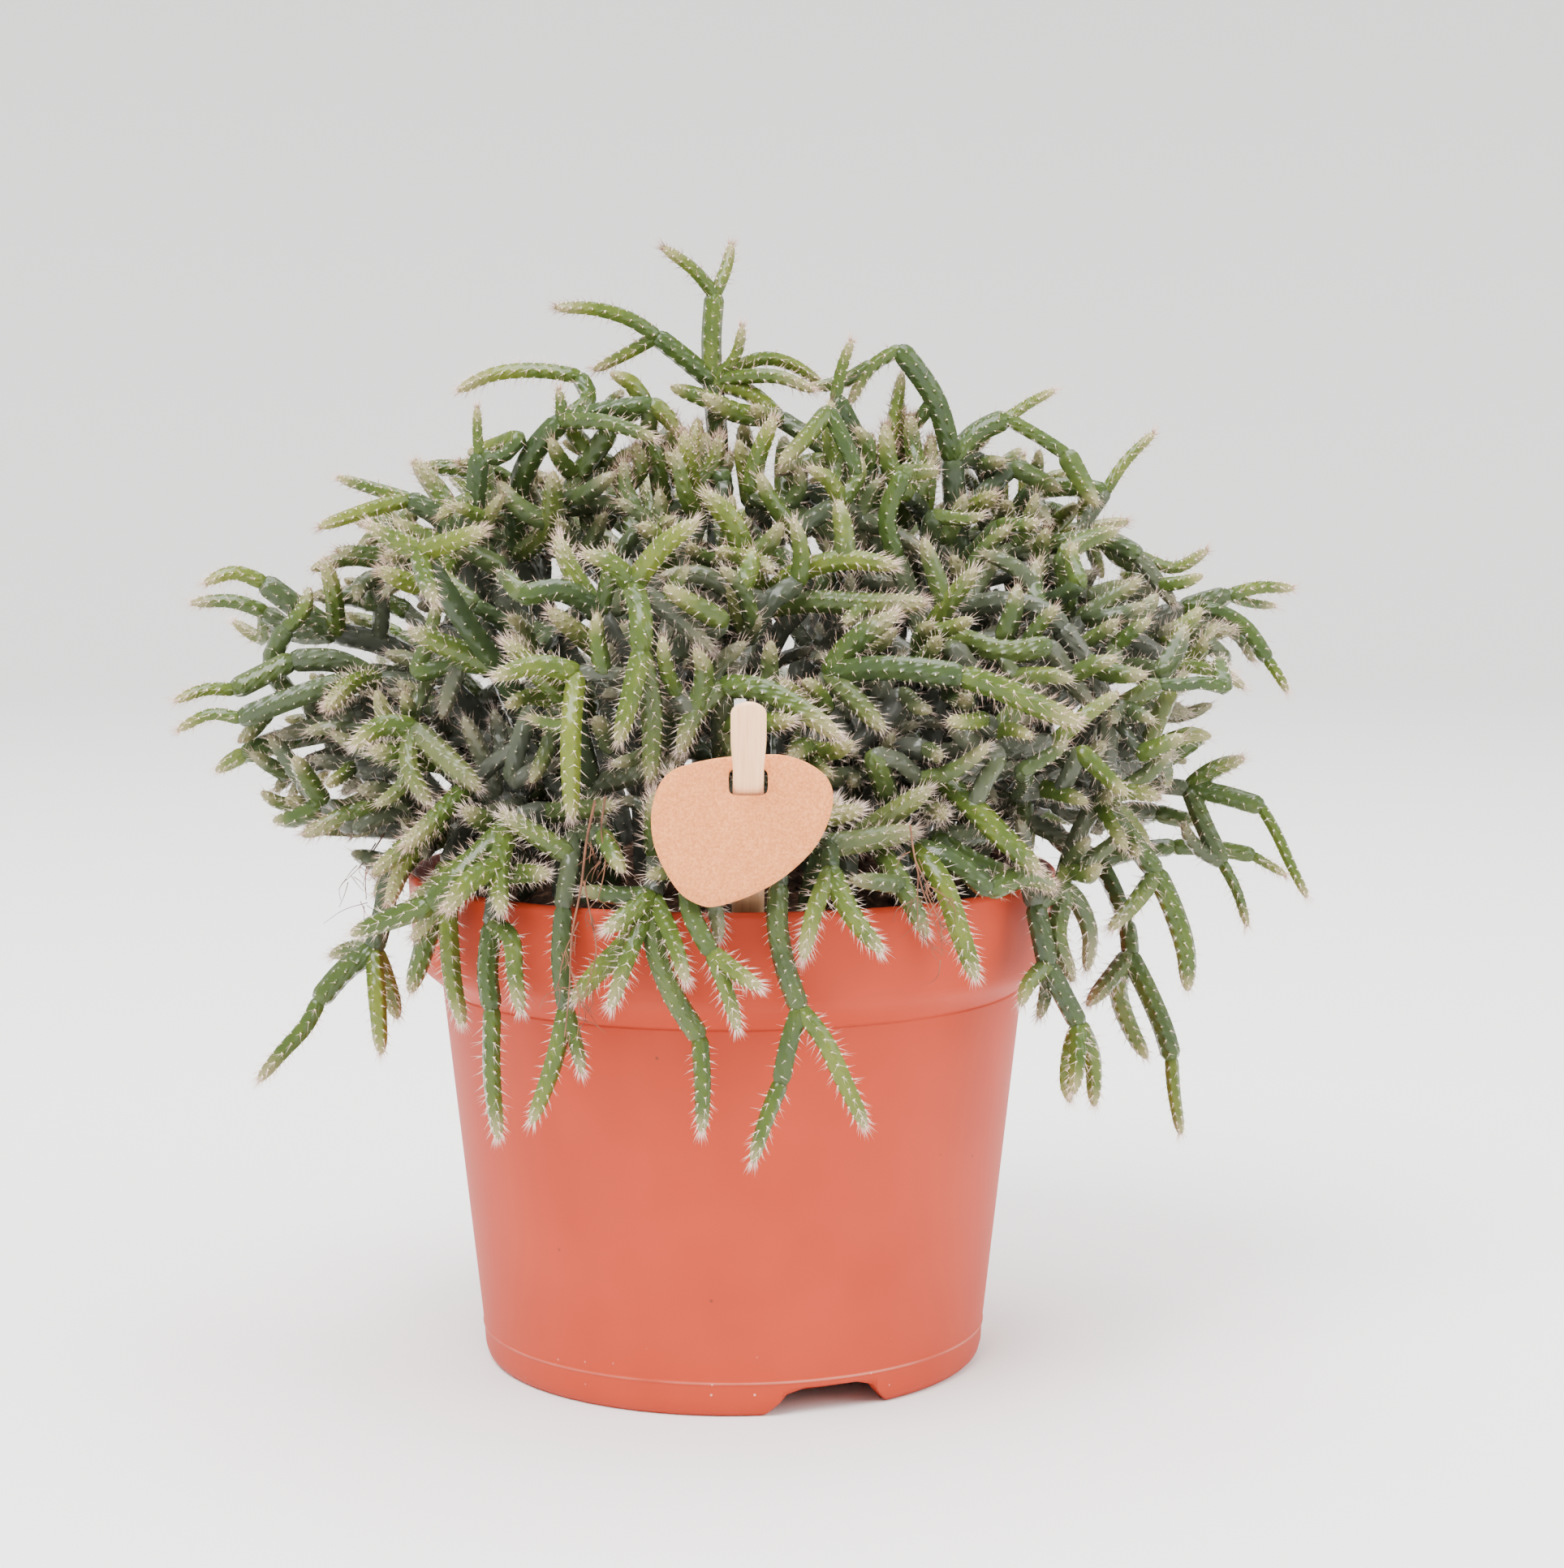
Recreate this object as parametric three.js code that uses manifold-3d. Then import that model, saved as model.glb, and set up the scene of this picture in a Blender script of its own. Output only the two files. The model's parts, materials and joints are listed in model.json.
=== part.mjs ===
// A hairy mistletoe cactus (Rhipsalis) that fills a 12 cm nursery pot, with a bare kraft tag on a stick.
// Millimetres, +Z up. The object stands on Z = 0, with the origin under the middle of its outline.
// X runs to the right and Y away from a viewer who stands in front of the plant.
//
// The plant is a set of sprays. A spray is a chain of cylindrical stems that fork in whorls. It is rooted in
// its own hole in the soil and is one solid. The sprays that are seen from the front are laid out by hand in
// SPRAYS. The others fill the back by a rule with seeded draws. A last step bends crossing sprays clear.
import * as THREE from "three";
import { mergeVertices } from "three/addons/utils/BufferGeometryUtils.js";
import Module from "manifold-3d";

const wasm = await Module();
wasm.setup();

// ---------------------------------------------------------------- driving dimensions

const SIDES = 24; // facets round the pot and the soil

const POT = {
  height: 92.5,
  rimRadius: 60.8,
  collarRadius: 59.3, // just above the chamfer under the collar
  bodyTopRadius: 54.6,
  bodyTopZ: 71.5,
  footRadius: 47.4,
  footZ: 6, // top of the rounded foot
  wall: 1.2,
  channelZ: 5.6, // underside of the raised ring of floor that holds the drain holes
  channelInner: 38.4,
  plateZ: 2, // underside of the middle of the floor
  footFlat: [43.6, 45.6], // the flat that the pot stands on
};
// The drain notches in the foot ring: how far the first is turned from the front, and half of its outline
// as distances across and up.
const NOTCH = { count: 3, firstDeg: 21.7, fromRadius: 39.8 };
const NOTCH_HALF = [[11.9, 0], [9.5, 2.6], [8.4, 4.1], [5, 5.1]];
const DRAIN = { radius: 2.3, onRadius: 40.9 };

const SOIL = { edgeRadius: 57.2, edgeZ: 88, rise: 9, bottomZ: 7.2, clear: 0.45 };
const SOIL_RINGS = [0.92, 0.72, 0.4, 0.08]; // rings of its surface, as shares of the edge's radius
const MOUND = { x: 49, y: 4, height: 8, spread: 9 }; // the plug of peat that stands up at the right
// How the stems stand in the soil: the least distance between two roots and from the stick's foot, the
// circle that they stay within, the depth of a hole, the upright stub above the soil, and how far the tool
// that cuts a hole stands above it.
const ROOTS = { apart: 7, within: 51, depth: 8, stub: 1.5, above: 9, rounds: 60, step: 0.4, stickY: -48 };
const HOLE_CLEAR = 0.4;
const HOLE_CORNER = 1.4; // a hole has the facets of its stem, and its corners lie further out than its walls

const CARD = { y: -71, thickness: 1, slotX: 2.6, slotZ: 116.1, slotWidth: 6.5, slotHeight: 4.5 };
const CARD_OUTLINE = [
  [-16.2, -6.1], [-15.5, -2.1], [-13.7, 1.1], [-10.6, 2.8], [-4.4, 4.1], [3.2, 4.6], [6.7, 4.3],
  [10.2, 3], [13, 0.8], [14.1, -2.1], [13.5, -6.1], [11.4, -10.5], [8, -14.2], [4, -17.2],
  [-0.8, -19.5], [-5.7, -20.9], [-8.4, -20.5], [-11.3, -18.7], [-13.9, -14.9], [-15.7, -10.5],
]; // right and up from the middle of the slot
const STICK = { width: 5.7, thickness: 1.2, leanDeg: 38, above: 18, below: 42 }; // lengths from the slot

const STEM_SIDES = [[4.4, 5], [3.4, 4], [0, 3]]; // the least width for each number of facets
const JOINT = 0.6; // radius where a stem leaves its parent, as a share of its full radius
const PINCH = 0.9; // radius where one stem runs on into the next, as a share of the thinner one
const SHOULDER = 0.88; // radius near the far end, as a share
const TIP = 0.5; // radius at a free end, as a share
const SUNK = 1.2; // how far a stem starts inside its parent
const STRAIGHT = 0.3; // a ring is left out where the tube without it passes this near

const SIGHT = { distance: 621, height: 176 }; // the point from which SPRAYS is laid out
const BARE = 0.86; // the width of a bare stem as a share of the width that is seen, with its bristles

// ---------------------------------------------------------------- the sprays that are laid out by hand
//
// A line of three words opens a spray: its name and the X and Y of its root in the soil.
// Every other line is one stem: its key, the key of its parent (. for the root), its width, and the points
// that it runs through after the end of its parent. A point is across,up,away: across and up are measured
// on the upright plane through the pot's axis, as seen from the sight point, and away is its depth. The
// width is measured on that plane too, and over the bristles.

const SPRAYS = `
crown -2 4
a . 5.0 -2,112,3 -3,140,0 -2.5,160,-2
b a 4.4 -2.8,174,-3 -3.6,183,-3
c b 4.2 -3.8,191,-3 -3.2,199,-3
d c 3.0 -7,203.5,-5 -13,207.8,-7
e c 3.0 -1.2,203.5,-2 0,208.5,0
f b 4.2 -9,187.5,-5 -14,191.3,-7
g f 3.4 -19,194.5,-8 -25,196.3,-9 -33,196.6,-10
h f 3.0 -20,188,-4 -26,185,-2
i b 2.8 0.8,188,-5 2,193.5,-6
j b 3.2 6,187.3,0 11,186.2,3 17,182.3,4
k b 3.2 3,184,-6 9,183.8,-8 15.5,181.2,-8
l b 3.8 4,180.5,-5 8.5,176.5,-7
m l 3.9 14,173,-9 20.5,168.5,-10
arch 20 2
a . 5.2 24,112,0 26,140,-2 25,160,-4
b a 4.8 24,168,-4 18.5,180,-6
c b 3.0 20,186.5,-6 21.7,191,-6
d a 3.2 28.5,172,2 31,185,4
right_crown 38 4
a . 5.2 40,115,6 43,140,6 42,158,4 41,169,3
b a 4.8 37.5,180,0 31,189,-1
c b 3.0 26,186,-1 21.5,178.7,-2
d a 4.6 46,174,6 51,176.3,6
e d 2.7 55.5,179.3,7 60,181.6,8
f d 3.0 57,173,5 62.3,169.6,4
g a 4.2 46.5,168,9 48.6,163,11
right_upper 46 14
a . 5.0 50,110,14 53,135,16 51,152,14
b a 4.4 49.6,160,16 50.2,166.3,17
c a 2.8 54,160,19 54,168.3,20
d a 4.2 56,161.5,12 62,162.8,12 69.5,162,12
e d 2.7 73,167.5,13 78.6,173.2,14
f d 3.6 66.5,157.5,10 63.5,153,8
g a 3.8 58,153.5,20 66,154.3,22 74,156,24
h a 4.4 60,151.5,4 69,152.8,2 76,149.8,0
i h 3.6 80,144.5,-2 83,140.5,-3
j h 3.0 83,147.8,2 89,151.2,3
right_mid 42 -8
a . 5.2 47,108,-2 55,124,0 64,133.5,2
b a 5.0 70,135.5,4 77,137.8,6 84,140.7,8
c b 4.4 88,142,9 92.5,143.2,10
d c 3.2 98,144.7,11 105,144.5,12
e c 2.5 97,141.8,14 101.5,141.3,16
f b 3.4 90,140.2,4 95,137.5,3 100,131,2
g f 2.8 102.3,127.8,1 104,124.8,1
h b 2.9 90,138.5,11 95,135,12 97.3,130.8,12
i a 4.8 71,132,-2 78,131.8,-3 85,130.5,-4
j i 3.4 91,129.2,-5 96.3,126,-6
k a 4.5 63,142,-8 62,150.8,-11
cascade_right 33 -12
a . 5.2 36,112,-15 38,130,-18 42,141,-20
b a 5.0 50,142.3,-23 57,140.8,-25 61.5,137.5,-26
c b 4.7 66,131,-26 70.5,121.5,-25
d c 4.6 70.2,112,-25 68.7,104.5,-25
e d 5.0 64,105.3,-27 58,107,-30 53,106.2,-32
f d 4.8 74,106.7,-26 81,105.2,-27
g d 4.2 66,99,-28 63.8,92,-30 61.7,81.5,-31
h c 4.2 73.5,123,-27 80,126.8,-28
i c 5.0 75,121,-20 80,122.2,-18 86,121,-16
j c 2.6 73.5,118,-29 76.6,113.6,-31
l h 3.0 84,126.6,-28 88,127,-28 92,126,-27
m d 4.5 74.5,98,-24 80,91,-23
n m 4.5 83,84.5,-23 85.7,76,-23 86.2,68.3,-23
o m 4.2 75.5,84.7,-27 71,80,-29
p d 3.8 74,102,-19 78.7,96,-16
cascade_outer 50 12
a . 5.0 56,103,10 64,107.5,8 72,108,6
b a 3.8 79,107.7,4 86,107,3
c b 4.2 90,110.3,3 96.3,112.8,3
d b 4.4 92.5,105.7,1 99.5,103.6,0
e d 2.5 102.5,98.5,-1 105.3,92.5,-2 108.6,86.2,-3
f b 4.3 88.6,100.5,0 92.3,93,-2
g f 2.7 95.2,87.5,-3 97.3,80.7,-4
low_right 47 25
a . 4.6 54,100,25 62,95,22 69,92,16
c a 3.9 76,94.3,16 83,95.3,17
d c 3.8 90,95.3,18 98,94,19
e d 2.5 101.5,92,19 104.5,90.3,19
f a 3.8 72,86.5,12 74.2,81,9
g f 3.9 75,78,8 75,76,7
h g 4.4 71,71,4 67,66.3,3
i g 4.4 78.5,69,5 82,60.5,4 83.2,56,4
j i 3.0 83.7,50,3 85.2,41,2
k g 3.9 73,69,12 75.5,61.5,14 78.6,56,15
low_right_front 43 -25
a . 4.8 49,99,-30 54.5,93,-35 56.5,85,-37
b a 4.6 58,79,-38 59.3,73.5,-38
c b 4.2 55.5,69.5,-42 54.2,65.5,-43
d b 3.7 59,68,-36 57.8,63.2,-36
e b 4.4 62.5,67.5,-38 65.5,62,-38
f e 4.0 65.3,54.5,-41 64.6,48.5,-42
g e 3.7 63.8,57,-34 63.3,50,-33 64,47,-33
h e 4.1 68,56,-36 68.6,46.2,-36
i a 3.9 62,88,-31 66.5,80,-29 66,72.5,-29
arch_front 14 -24
a . 5.4 14,108,-30 15,120,-37 18,128.5,-42
b a 5.4 27,129.8,-47 36,129.3,-50 43,128.3,-51
c b 5.2 50,126,-51 57,122.8,-50 65.5,119.3,-47
d a 5.4 21,133,-42 25,136.5,-43 31,140.2,-43
e a 5.0 23,123.5,-47 28.3,117.5,-50
bright_mid 30 -2
a . 5.2 31,110,-6 34,126,-14 38,134.5,-22
b a 5.0 45,134.5,-30 52,132.3,-34 61,133.3,-36
c a 4.6 42,141,-26 47.5,148,-28
d a 4.4 35,142,-20 32,150,-20
e d 4.2 30,157,-20 33,165.5,-21
diagonal 33 -30
a . 5.2 36,103,-36 39,108,-42
b a 5.2 45,103,-47 51,97,-50 58,90.8,-51
c a 5.0 45,111.5,-40 52,114.2,-38 60,115,-36
front_right 30 -38
a . 4.8 34,97,-43 38,94.5,-51
b a 4.9 42.5,88,-56 45.5,79,-57 48.7,69.5,-57
c a 5.0 45,92,-53 51.5,86.5,-52
front_right_low 20 -44
a . 4.6 25,99,-49 29.5,98.5,-54
b a 4.7 33.5,92,-60 38.3,82,-62
front_mid 13 -47
a . 4.4 16.5,97,-54 17,92,-63
b a 4.4 13.5,83,-68 11,74,-69
c a 4.6 21,83.5,-66 27,76,-66
hang_mid 8 -38
a . 4.4 5.5,98,-47 5,94,-58 5.5,88,-65
b a 4.6 6.5,81,-67.5 9,74,-68 12.3,65,-68
c b 4.4 10.3,58,-69 9,51,-69
d c 3.6 6.3,44,-70 3.6,35.3,-71
e b 4.2 16.5,60,-69 21,51,-69 25.2,42,-68
hang_mid_left -4 -42
a . 4.2 -7,98,-51 -8,92.5,-61
b a 4.4 -8,85,-67 -4,76.5,-70
c b 4.4 1,72.5,-72 5.5,69.5,-74
d b 3.8 -1,68.5,-71 1,61.3,-71
e a 4.2 -3.5,86,-66 -2.5,79,-66
hang_left -14 -40
a . 4.6 -14,97.5,-49 -14.5,93.5,-58 -15,86,-64.5
b a 5.0 -19.5,83,-68 -24.5,79.3,-70
c a 4.3 -11,77,-70 -8.7,69.5,-73
d a 4.7 -14.5,76,-66 -11.5,68,-66.5 -6.3,59.5,-67
e d 3.8 -5.8,50,-68 -6,41,-68.5
f a 4.9 -20,77.5,-64 -25.5,72,-64 -30.5,66,-64
g a 4.0 -20.5,73,-69 -23.3,64.5,-70
hang_left_two -26 -36
a . 4.6 -31,98,-44 -33,93.5,-54 -34.5,84,-57.5
b a 4.4 -34.5,74,-58.5 -33,65,-59.5
c b 3.9 -35.5,54,-60 -39.6,42.8,-60
d b 3.5 -31,58,-61 -29.8,52.5,-62
hang_left_three -37 -27
a . 4.6 -42,99,-36 -44.5,93.5,-46 -45.5,83,-50
b a 4.5 -46.5,73,-51 -45.7,66.5,-51.5
c b 3.9 -45.8,53,-52 -44.7,41,-52
d a 4.2 -42,80,-56 -41.3,73,-58 -40.2,65.5,-58
hang_left_four -45 -16
a . 4.6 -49,99,-24 -53,92.5,-35
b a 4.3 -53,80,-42 -52.3,70,-43 -50.5,61.5,-44
c a 4.7 -56,82,-37 -58,75,-36 -60.3,68,-35
left_low -49 -6
a . 4.8 -55,99,-8 -62.5,92.5,-14 -64.5,84,-16 -66.5,76.5,-18
b a 4.8 -72,73,-19 -77.5,67,-20
c b 3.7 -80,62.5,-20 -85,57,-20 -89.6,51.5,-20
e a 3.9 -66,66,-23 -65.5,56.5,-23
f a 4.6 -63.5,70.5,-15 -60.2,63.5,-13
g a 4.2 -70,77,-12 -75,75.5,-9
left_front -30 -32
a . 5.2 -34,103,-42 -39,102.5,-47
b a 5.4 -44,97,-51 -50,91.5,-53 -55.5,86,-53
c b 4.9 -63,83.3,-51 -71,80.3,-48
d a 5.0 -41.5,93,-56 -41,84,-62
left_e -50 4
a . 5.0 -53,101,2 -57,103,-2
b a 4.9 -62,97,-8 -68.3,91,-10
c a 4.9 -65,105,-4 -72.5,102.5,-4 -80.2,98.8,-4
d a 3.8 -61,101,-16 -67,99.5,-20 -71.5,97.8,-21
e a 3.6 -62,93.5,2 -66.5,86,4
f a 4.7 -64,109.5,2 -70,108.3,4 -73.3,105.3,5
left_d -40 -10
a . 5.2 -46,104,-16 -54,112,-26 -59.5,118,-32
b a 5.2 -65,118.3,-34 -71,114,-35
c a 4.4 -60.5,111,-37 -56.5,103.5,-40
d a 5.4 -53,112,-38 -47,106.5,-42
left_c -46 14
a . 5.2 -56,106,12 -64,115,6 -70,119,2
b a 5.0 -78,117.7,0 -85,116.2,-2 -91.3,113.8,-3
c b 4.2 -94,112.3,-1 -96.8,110.5,0
d a 4.6 -74,113.8,-3 -80,111.5,-5
e d 3.6 -83,109.8,-6 -85.8,106.6,-6
f d 2.9 -81.5,108,-2 -83.3,105.3,-1
left_b -36 4
a . 5.4 -46,110,4 -56,121,0 -66,128,-4
b a 5.0 -74,131.5,-8 -82,131.5,-10
c b 4.6 -88,128.5,-11 -93,126,-12
d c 3.2 -98.5,126,-13 -104.3,123.8,-14
e a 4.8 -74,127,-13 -82,124.5,-15 -91.8,120.6,-16
f e 3.0 -97,121.5,-16 -103.8,118.4,-16
g a 4.6 -71,127,-16 -75.5,122.5,-26
left_a -32 18
a . 5.2 -42,112,16 -54,126,12 -66,134,8 -74,136,5
b a 5.0 -80,140.2,3 -87.3,145.7,2
c b 3.7 -93,147.6,1 -98.5,145.6,0
d a 4.2 -82,136.5,9 -87,140.3,10
e d 3.5 -93,142.3,10 -101,142,10
f d 3.5 -88,135.5,16 -93.2,138.6,18
g a 4.4 -74.5,144,0 -76,150.3,-1
left_y -22 -14
a . 5.2 -32,112,-22 -44,130,-32 -54,145,-40 -58,151.5,-42
b a 4.9 -52.5,153.3,-46 -45.7,155.8,-49
c a 4.8 -63,154,-43 -68.3,156.7,-44
d a 4.7 -57.3,147,-47 -55.3,141.8,-51
left_upper -27 2
a . 5.2 -36,115,0 -45,135,-5 -50,152,-10
b a 4.6 -54,158,-9 -60,161.5,-9
c b 3.4 -66.5,159.8,-12 -77,156.3,-13
d b 3.0 -66,163.3,-6 -73.3,165.5,-5
e a 4.8 -54,162.5,-2 -59,169,0
f a 4.7 -47.5,162,-12 -46.7,169.5,-13
g f 2.7 -47,174,-13 -47,178.6,-13
h f 3.2 -43,169,-11 -39,172.5,-10
j a 5.0 -58,146,-18 -66,148.7,-24
left_arch -15 10
a . 5.2 -24,115,9 -36,135,5 -42,150,0
b a 5.0 -41.5,162,-5 -38,170,-8 -32.5,176,-10
c b 3.2 -32.3,179,-10 -32.8,182,-10
d b 4.0 -24,178,-12 -15.5,179.2,-13
e b 3.7 -23,175.5,-16 -14.5,172.5,-18
f b 3.7 -27,180.5,-6 -28.5,184.3,-4
g f 3.5 -36,185.3,-3 -44,184.6,-2 -51,181.5,-1
h a 5.0 -36,156,-12 -35.3,165.5,-18
mid_left -16 -22
a . 5.4 -18,112,-30 -20,128,-38 -25,139,-42
b a 5.0 -32,143.6,-45 -39.7,142.6,-47
c a 4.8 -30,147,-40 -33,154,-38
mid_left_low -22 -28
a . 5.2 -24,110,-40 -26,124,-50 -26.5,130,-54
b a 5.0 -34,131.5,-56 -42.8,129,-57
c a 4.5 -27.8,120,-60 -28,102.3,-60
center_front -9 -26
a . 5.4 -11,112,-36 -15,130,-44 -18.5,145,-50
b a 5.2 -17,140,-56 -16.8,133,-58
c b 4.8 -19,124,-60 -21.4,115.3,-61
e a 5.0 -22.5,149.5,-52 -28,151.3,-53
f a 5.0 -12.5,152.8,-52 -6,157.5,-53
g a 4.7 -12,141,-50 -3,133,-50
h b 4.8 -15,122,-56 -15.3,108,-57
center_back 5 -10
a . 5.6 5,112,-14 5,128,-20 5,141,-24
b a 5.8 2.5,150,-26 -0.5,157.5,-27 -5.5,163,-27
c a 5.0 15,142.3,-30 25,141.8,-32 36.5,142,-33
d a 4.7 3,135,-34 0,127.5,-38
e a 4.8 12,147.5,-28 21,150,-30 31,148.8,-32
center_top 14 -5
a . 5.4 14,112,-5 16,132,-7 22,146,-10
b a 5.0 18,154.8,-15 10,159.3,-17 3.7,162.5,-18
c b 4.3 4.5,168,-19 8,176.8,-20
d a 4.6 22,156,-8 15,163,-6
center_low -3 -30
a . 5.2 -2,110,-40 -3,120,-48 -3,127,-52
b a 5.1 4,126.3,-55 12,122,-58 19.3,116.8,-61
c a 4.8 -8,122,-54 -11,114,-56
`;

// ---------------------------------------------------------------- the sprays that follow a rule

// The sprays round the back: every other one is an outer one, which leans over the rim. Each has a trunk, a
// limb for each of its turns and twigs at the end of each limb. A pair of numbers gives a least and a most.
const FILL = {
  count: 10,
  firstDeg: -1, // azimuth where they begin, from +X towards +Y
  spanDeg: 184,
  wander: 6, // how far an azimuth may stray
  trunkWidth: 4.6,
  limbTurns: [-52, 0, 52], // azimuths of the limbs from that of the trunk
  limbWander: 12,
  limbLength: [20, 27],
  limbWidth: 4.2,
  middleRise: 10, // how much steeper the middle limb is
  twigTurns: [[-0.6, 0.9], [-0.8, 0.5], [-0.6, 0.9]], // for each limb, as shares of the next
  twigTurn: [26, 48],
  twigDrop: [-46, 6],
  twigLength: [15, 23],
  twigWidth: [2.8, 4],
  seed: 20241,
  outer: { rootRadius: [33, 38], lean: [32, 44], trunk: [29, 36], limbLean: [-12, 34], droop: 16 },
  inner: { rootRadius: [16, 24], lean: [56, 72], trunk: [42, 52], limbLean: [8, 48], droop: 0 },
};

// Short stems that stand off the trunks: how far each is turned from outwards, its slope, length and width,
// and how far from the pot's axis a trunk still has them.
const SIDE = { turn: 100, elevation: [-5, 50], length: [14, 21], width: [3.7, 4.3], within: 62, seed: 7351 };

const BOW = { trunk: 16, first: 7, second: 9 }; // degrees that a span is steeper or less steep than its stem

/** Seeded draws: a function that gives the next number between a least and a most. */
function makeDraw(seed) {
  let state = seed;
  return (low, high) => {
    state = (state * 16807) % 2147483647;
    return low + ((high - low) * state) / 2147483647;
  };
}

const toRadians = (degrees) => (degrees * Math.PI) / 180;

/** A point away from another, by an azimuth, an elevation and a length. */
function onward(from, azimuthDeg, elevationDeg, length) {
  const azimuth = toRadians(azimuthDeg);
  const elevation = toRadians(elevationDeg);
  return [
    from[0] + length * Math.cos(elevation) * Math.cos(azimuth),
    from[1] + length * Math.cos(elevation) * Math.sin(azimuth),
    from[2] + length * Math.sin(elevation),
  ];
}

// ---------------------------------------------------------------- where things stand

/** Height of the soil's surface: a dome with a mound and gentle lumps. */
function soilHeight(x, y) {
  const dome = SOIL.rise * (1 - (x * x + y * y) / SOIL.edgeRadius ** 2);
  const off = (x - MOUND.x) ** 2 + (y - MOUND.y) ** 2;
  const mound = MOUND.height * Math.exp(-off / (2 * MOUND.spread ** 2));
  const lumps = 0.5 * Math.sin(0.31 * x + 1.3) * Math.sin(0.27 * y + 0.4);
  return SOIL.edgeZ + dome + mound + lumps;
}

/** How much larger a thing is than it is seen on the plane through the pot's axis, when it lies behind it. */
const reachAt = (away) => (SIGHT.distance + away) / SIGHT.distance;

/** A point that is seen at (across, up) on that plane, and lies `away` behind it. */
function sighted([across, up, away]) {
  return [across * reachAt(away), away, SIGHT.height + (up - SIGHT.height) * reachAt(away)];
}

/** The skeleton of all sprays: points, which of them are fixed, and stems that run along lists of points. */
const skeleton = { points: [], fixed: [], stems: [], sprays: [] };

function addPoint(point, isFixed = false) {
  skeleton.points.push([...point]);
  skeleton.fixed.push(isFixed);
  return skeleton.points.length - 1;
}

/** Adds a stem that runs from points that are already there through new ones. */
function addStem(spray, startIndices, points, width, parent) {
  const along = [...startIndices, ...points.map((point) => addPoint(point))];
  return skeleton.stems.push({ spray, along, radius: width / 2, parent }) - 1;
}

/** Opens a spray and gives the two fixed points of its foot, in the hole and just above the soil. */
function addRoot(name, x, y) {
  const foot = [addPoint([x, y, soilHeight(x, y)], true), addPoint([x, y, soilHeight(x, y)], true)];
  skeleton.sprays.push({ name, x, y, foot });
  return foot;
}

/** Moves the roots apart until each stands in soil of its own, and sets the feet of the sprays there. */
function spaceRoots() {
  const stick = { x: CARD.slotX, y: ROOTS.stickY };
  for (let round = 0; round < ROOTS.rounds; round += 1) {
    const shift = skeleton.sprays.map((spray) => {
      const total = [0, 0];
      for (const other of [...skeleton.sprays, stick]) {
        const [dx, dy] = [spray.x - other.x, spray.y - other.y];
        const distance = Math.hypot(dx, dy);
        if (other === spray || distance > ROOTS.apart) continue;
        const share = (ROOTS.step * (ROOTS.apart - distance)) / distance;
        total[0] += share * dx;
        total[1] += share * dy;
      }
      return total;
    });
    skeleton.sprays.forEach((spray, index) => {
      const [x, y] = [spray.x + shift[index][0], spray.y + shift[index][1]];
      const inward = Math.min(1, ROOTS.within / Math.hypot(x, y));
      [spray.x, spray.y] = [x * inward, y * inward];
    });
  }
  for (const spray of skeleton.sprays) {
    const { x, y, foot } = spray;
    spray.z = soilHeight(x, y);
    skeleton.points[foot[0]] = [x, y, spray.z - ROOTS.depth];
    skeleton.points[foot[1]] = [x, y, spray.z + ROOTS.stub];
  }
}

/** Reads the sprays that are laid out by hand. */
function addSpraysByHand(text) {
  let keys = {};
  let foot = [];
  for (const line of text.trim().split("\n")) {
    const words = line.trim().split(/\s+/);
    if (words.length === 3 && !words[2].includes(",")) {
      foot = addRoot(words[0], Number(words[1]), Number(words[2]));
      keys = {};
      continue;
    }
    const [key, parentKey, seenWidth, ...places] = words;
    const points = places.map((place) => sighted(place.split(",").map(Number)));
    const width = Number(seenWidth) * BARE * reachAt(points.at(-1)[1]);
    const parent = parentKey === "." ? null : keys[parentKey];
    const start = parent === null ? foot : skeleton.stems[parent].along.slice(-1);
    keys[key] = addStem(skeleton.sprays.length - 1, start, points, width, parent);
  }
}

/** A stem in two spans, the second less steep than the first. */
function addBowed(spray, parent, azimuth, elevation, length, width) {
  const startIndices = skeleton.stems[parent].along.slice(-1);
  const from = skeleton.points[startIndices[0]];
  const middle = onward(from, azimuth, elevation + BOW.first, length / 2);
  const end = onward(middle, azimuth, elevation - BOW.second, length / 2);
  return addStem(spray, startIndices, [middle, end], width, parent);
}

function addSpraysByRule(fill) {
  const draw = makeDraw(fill.seed);
  const wander = (most) => draw(-most, most);
  for (let index = 0; index < fill.count; index += 1) {
    const kind = index % 2 === 0 ? fill.outer : fill.inner;
    const azimuth = fill.firstDeg + (fill.spanDeg * (index + 0.5)) / fill.count + wander(fill.wander);
    const root = onward([0, 0, 0], azimuth, 0, draw(...kind.rootRadius));
    const foot = addRoot(`back_${index + 1}`, root[0], root[1]);
    const spray = skeleton.sprays.length - 1;
    const lean = draw(...kind.lean);
    const length = draw(...kind.trunk);
    const middle = onward(skeleton.points[foot[1]], azimuth, lean + BOW.trunk, length / 2);
    const end = onward(middle, azimuth, lean, length / 2);
    const trunk = addStem(spray, foot, [middle, end], fill.trunkWidth, null);
    fill.limbTurns.forEach((turn, place) => {
      const limbAzimuth = azimuth + turn + wander(fill.limbWander);
      const limbLean = draw(...kind.limbLean) + (turn === 0 ? fill.middleRise : 0);
      const limb = addBowed(spray, trunk, limbAzimuth, limbLean, draw(...fill.limbLength), fill.limbWidth);
      for (const side of fill.twigTurns[place]) {
        const twigAzimuth = limbAzimuth + side * draw(...fill.twigTurn);
        const twigLean = limbLean + draw(...fill.twigDrop) - kind.droop;
        addBowed(spray, limb, twigAzimuth, twigLean, draw(...fill.twigLength), draw(...fill.twigWidth));
      }
    });
  }
}

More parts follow.
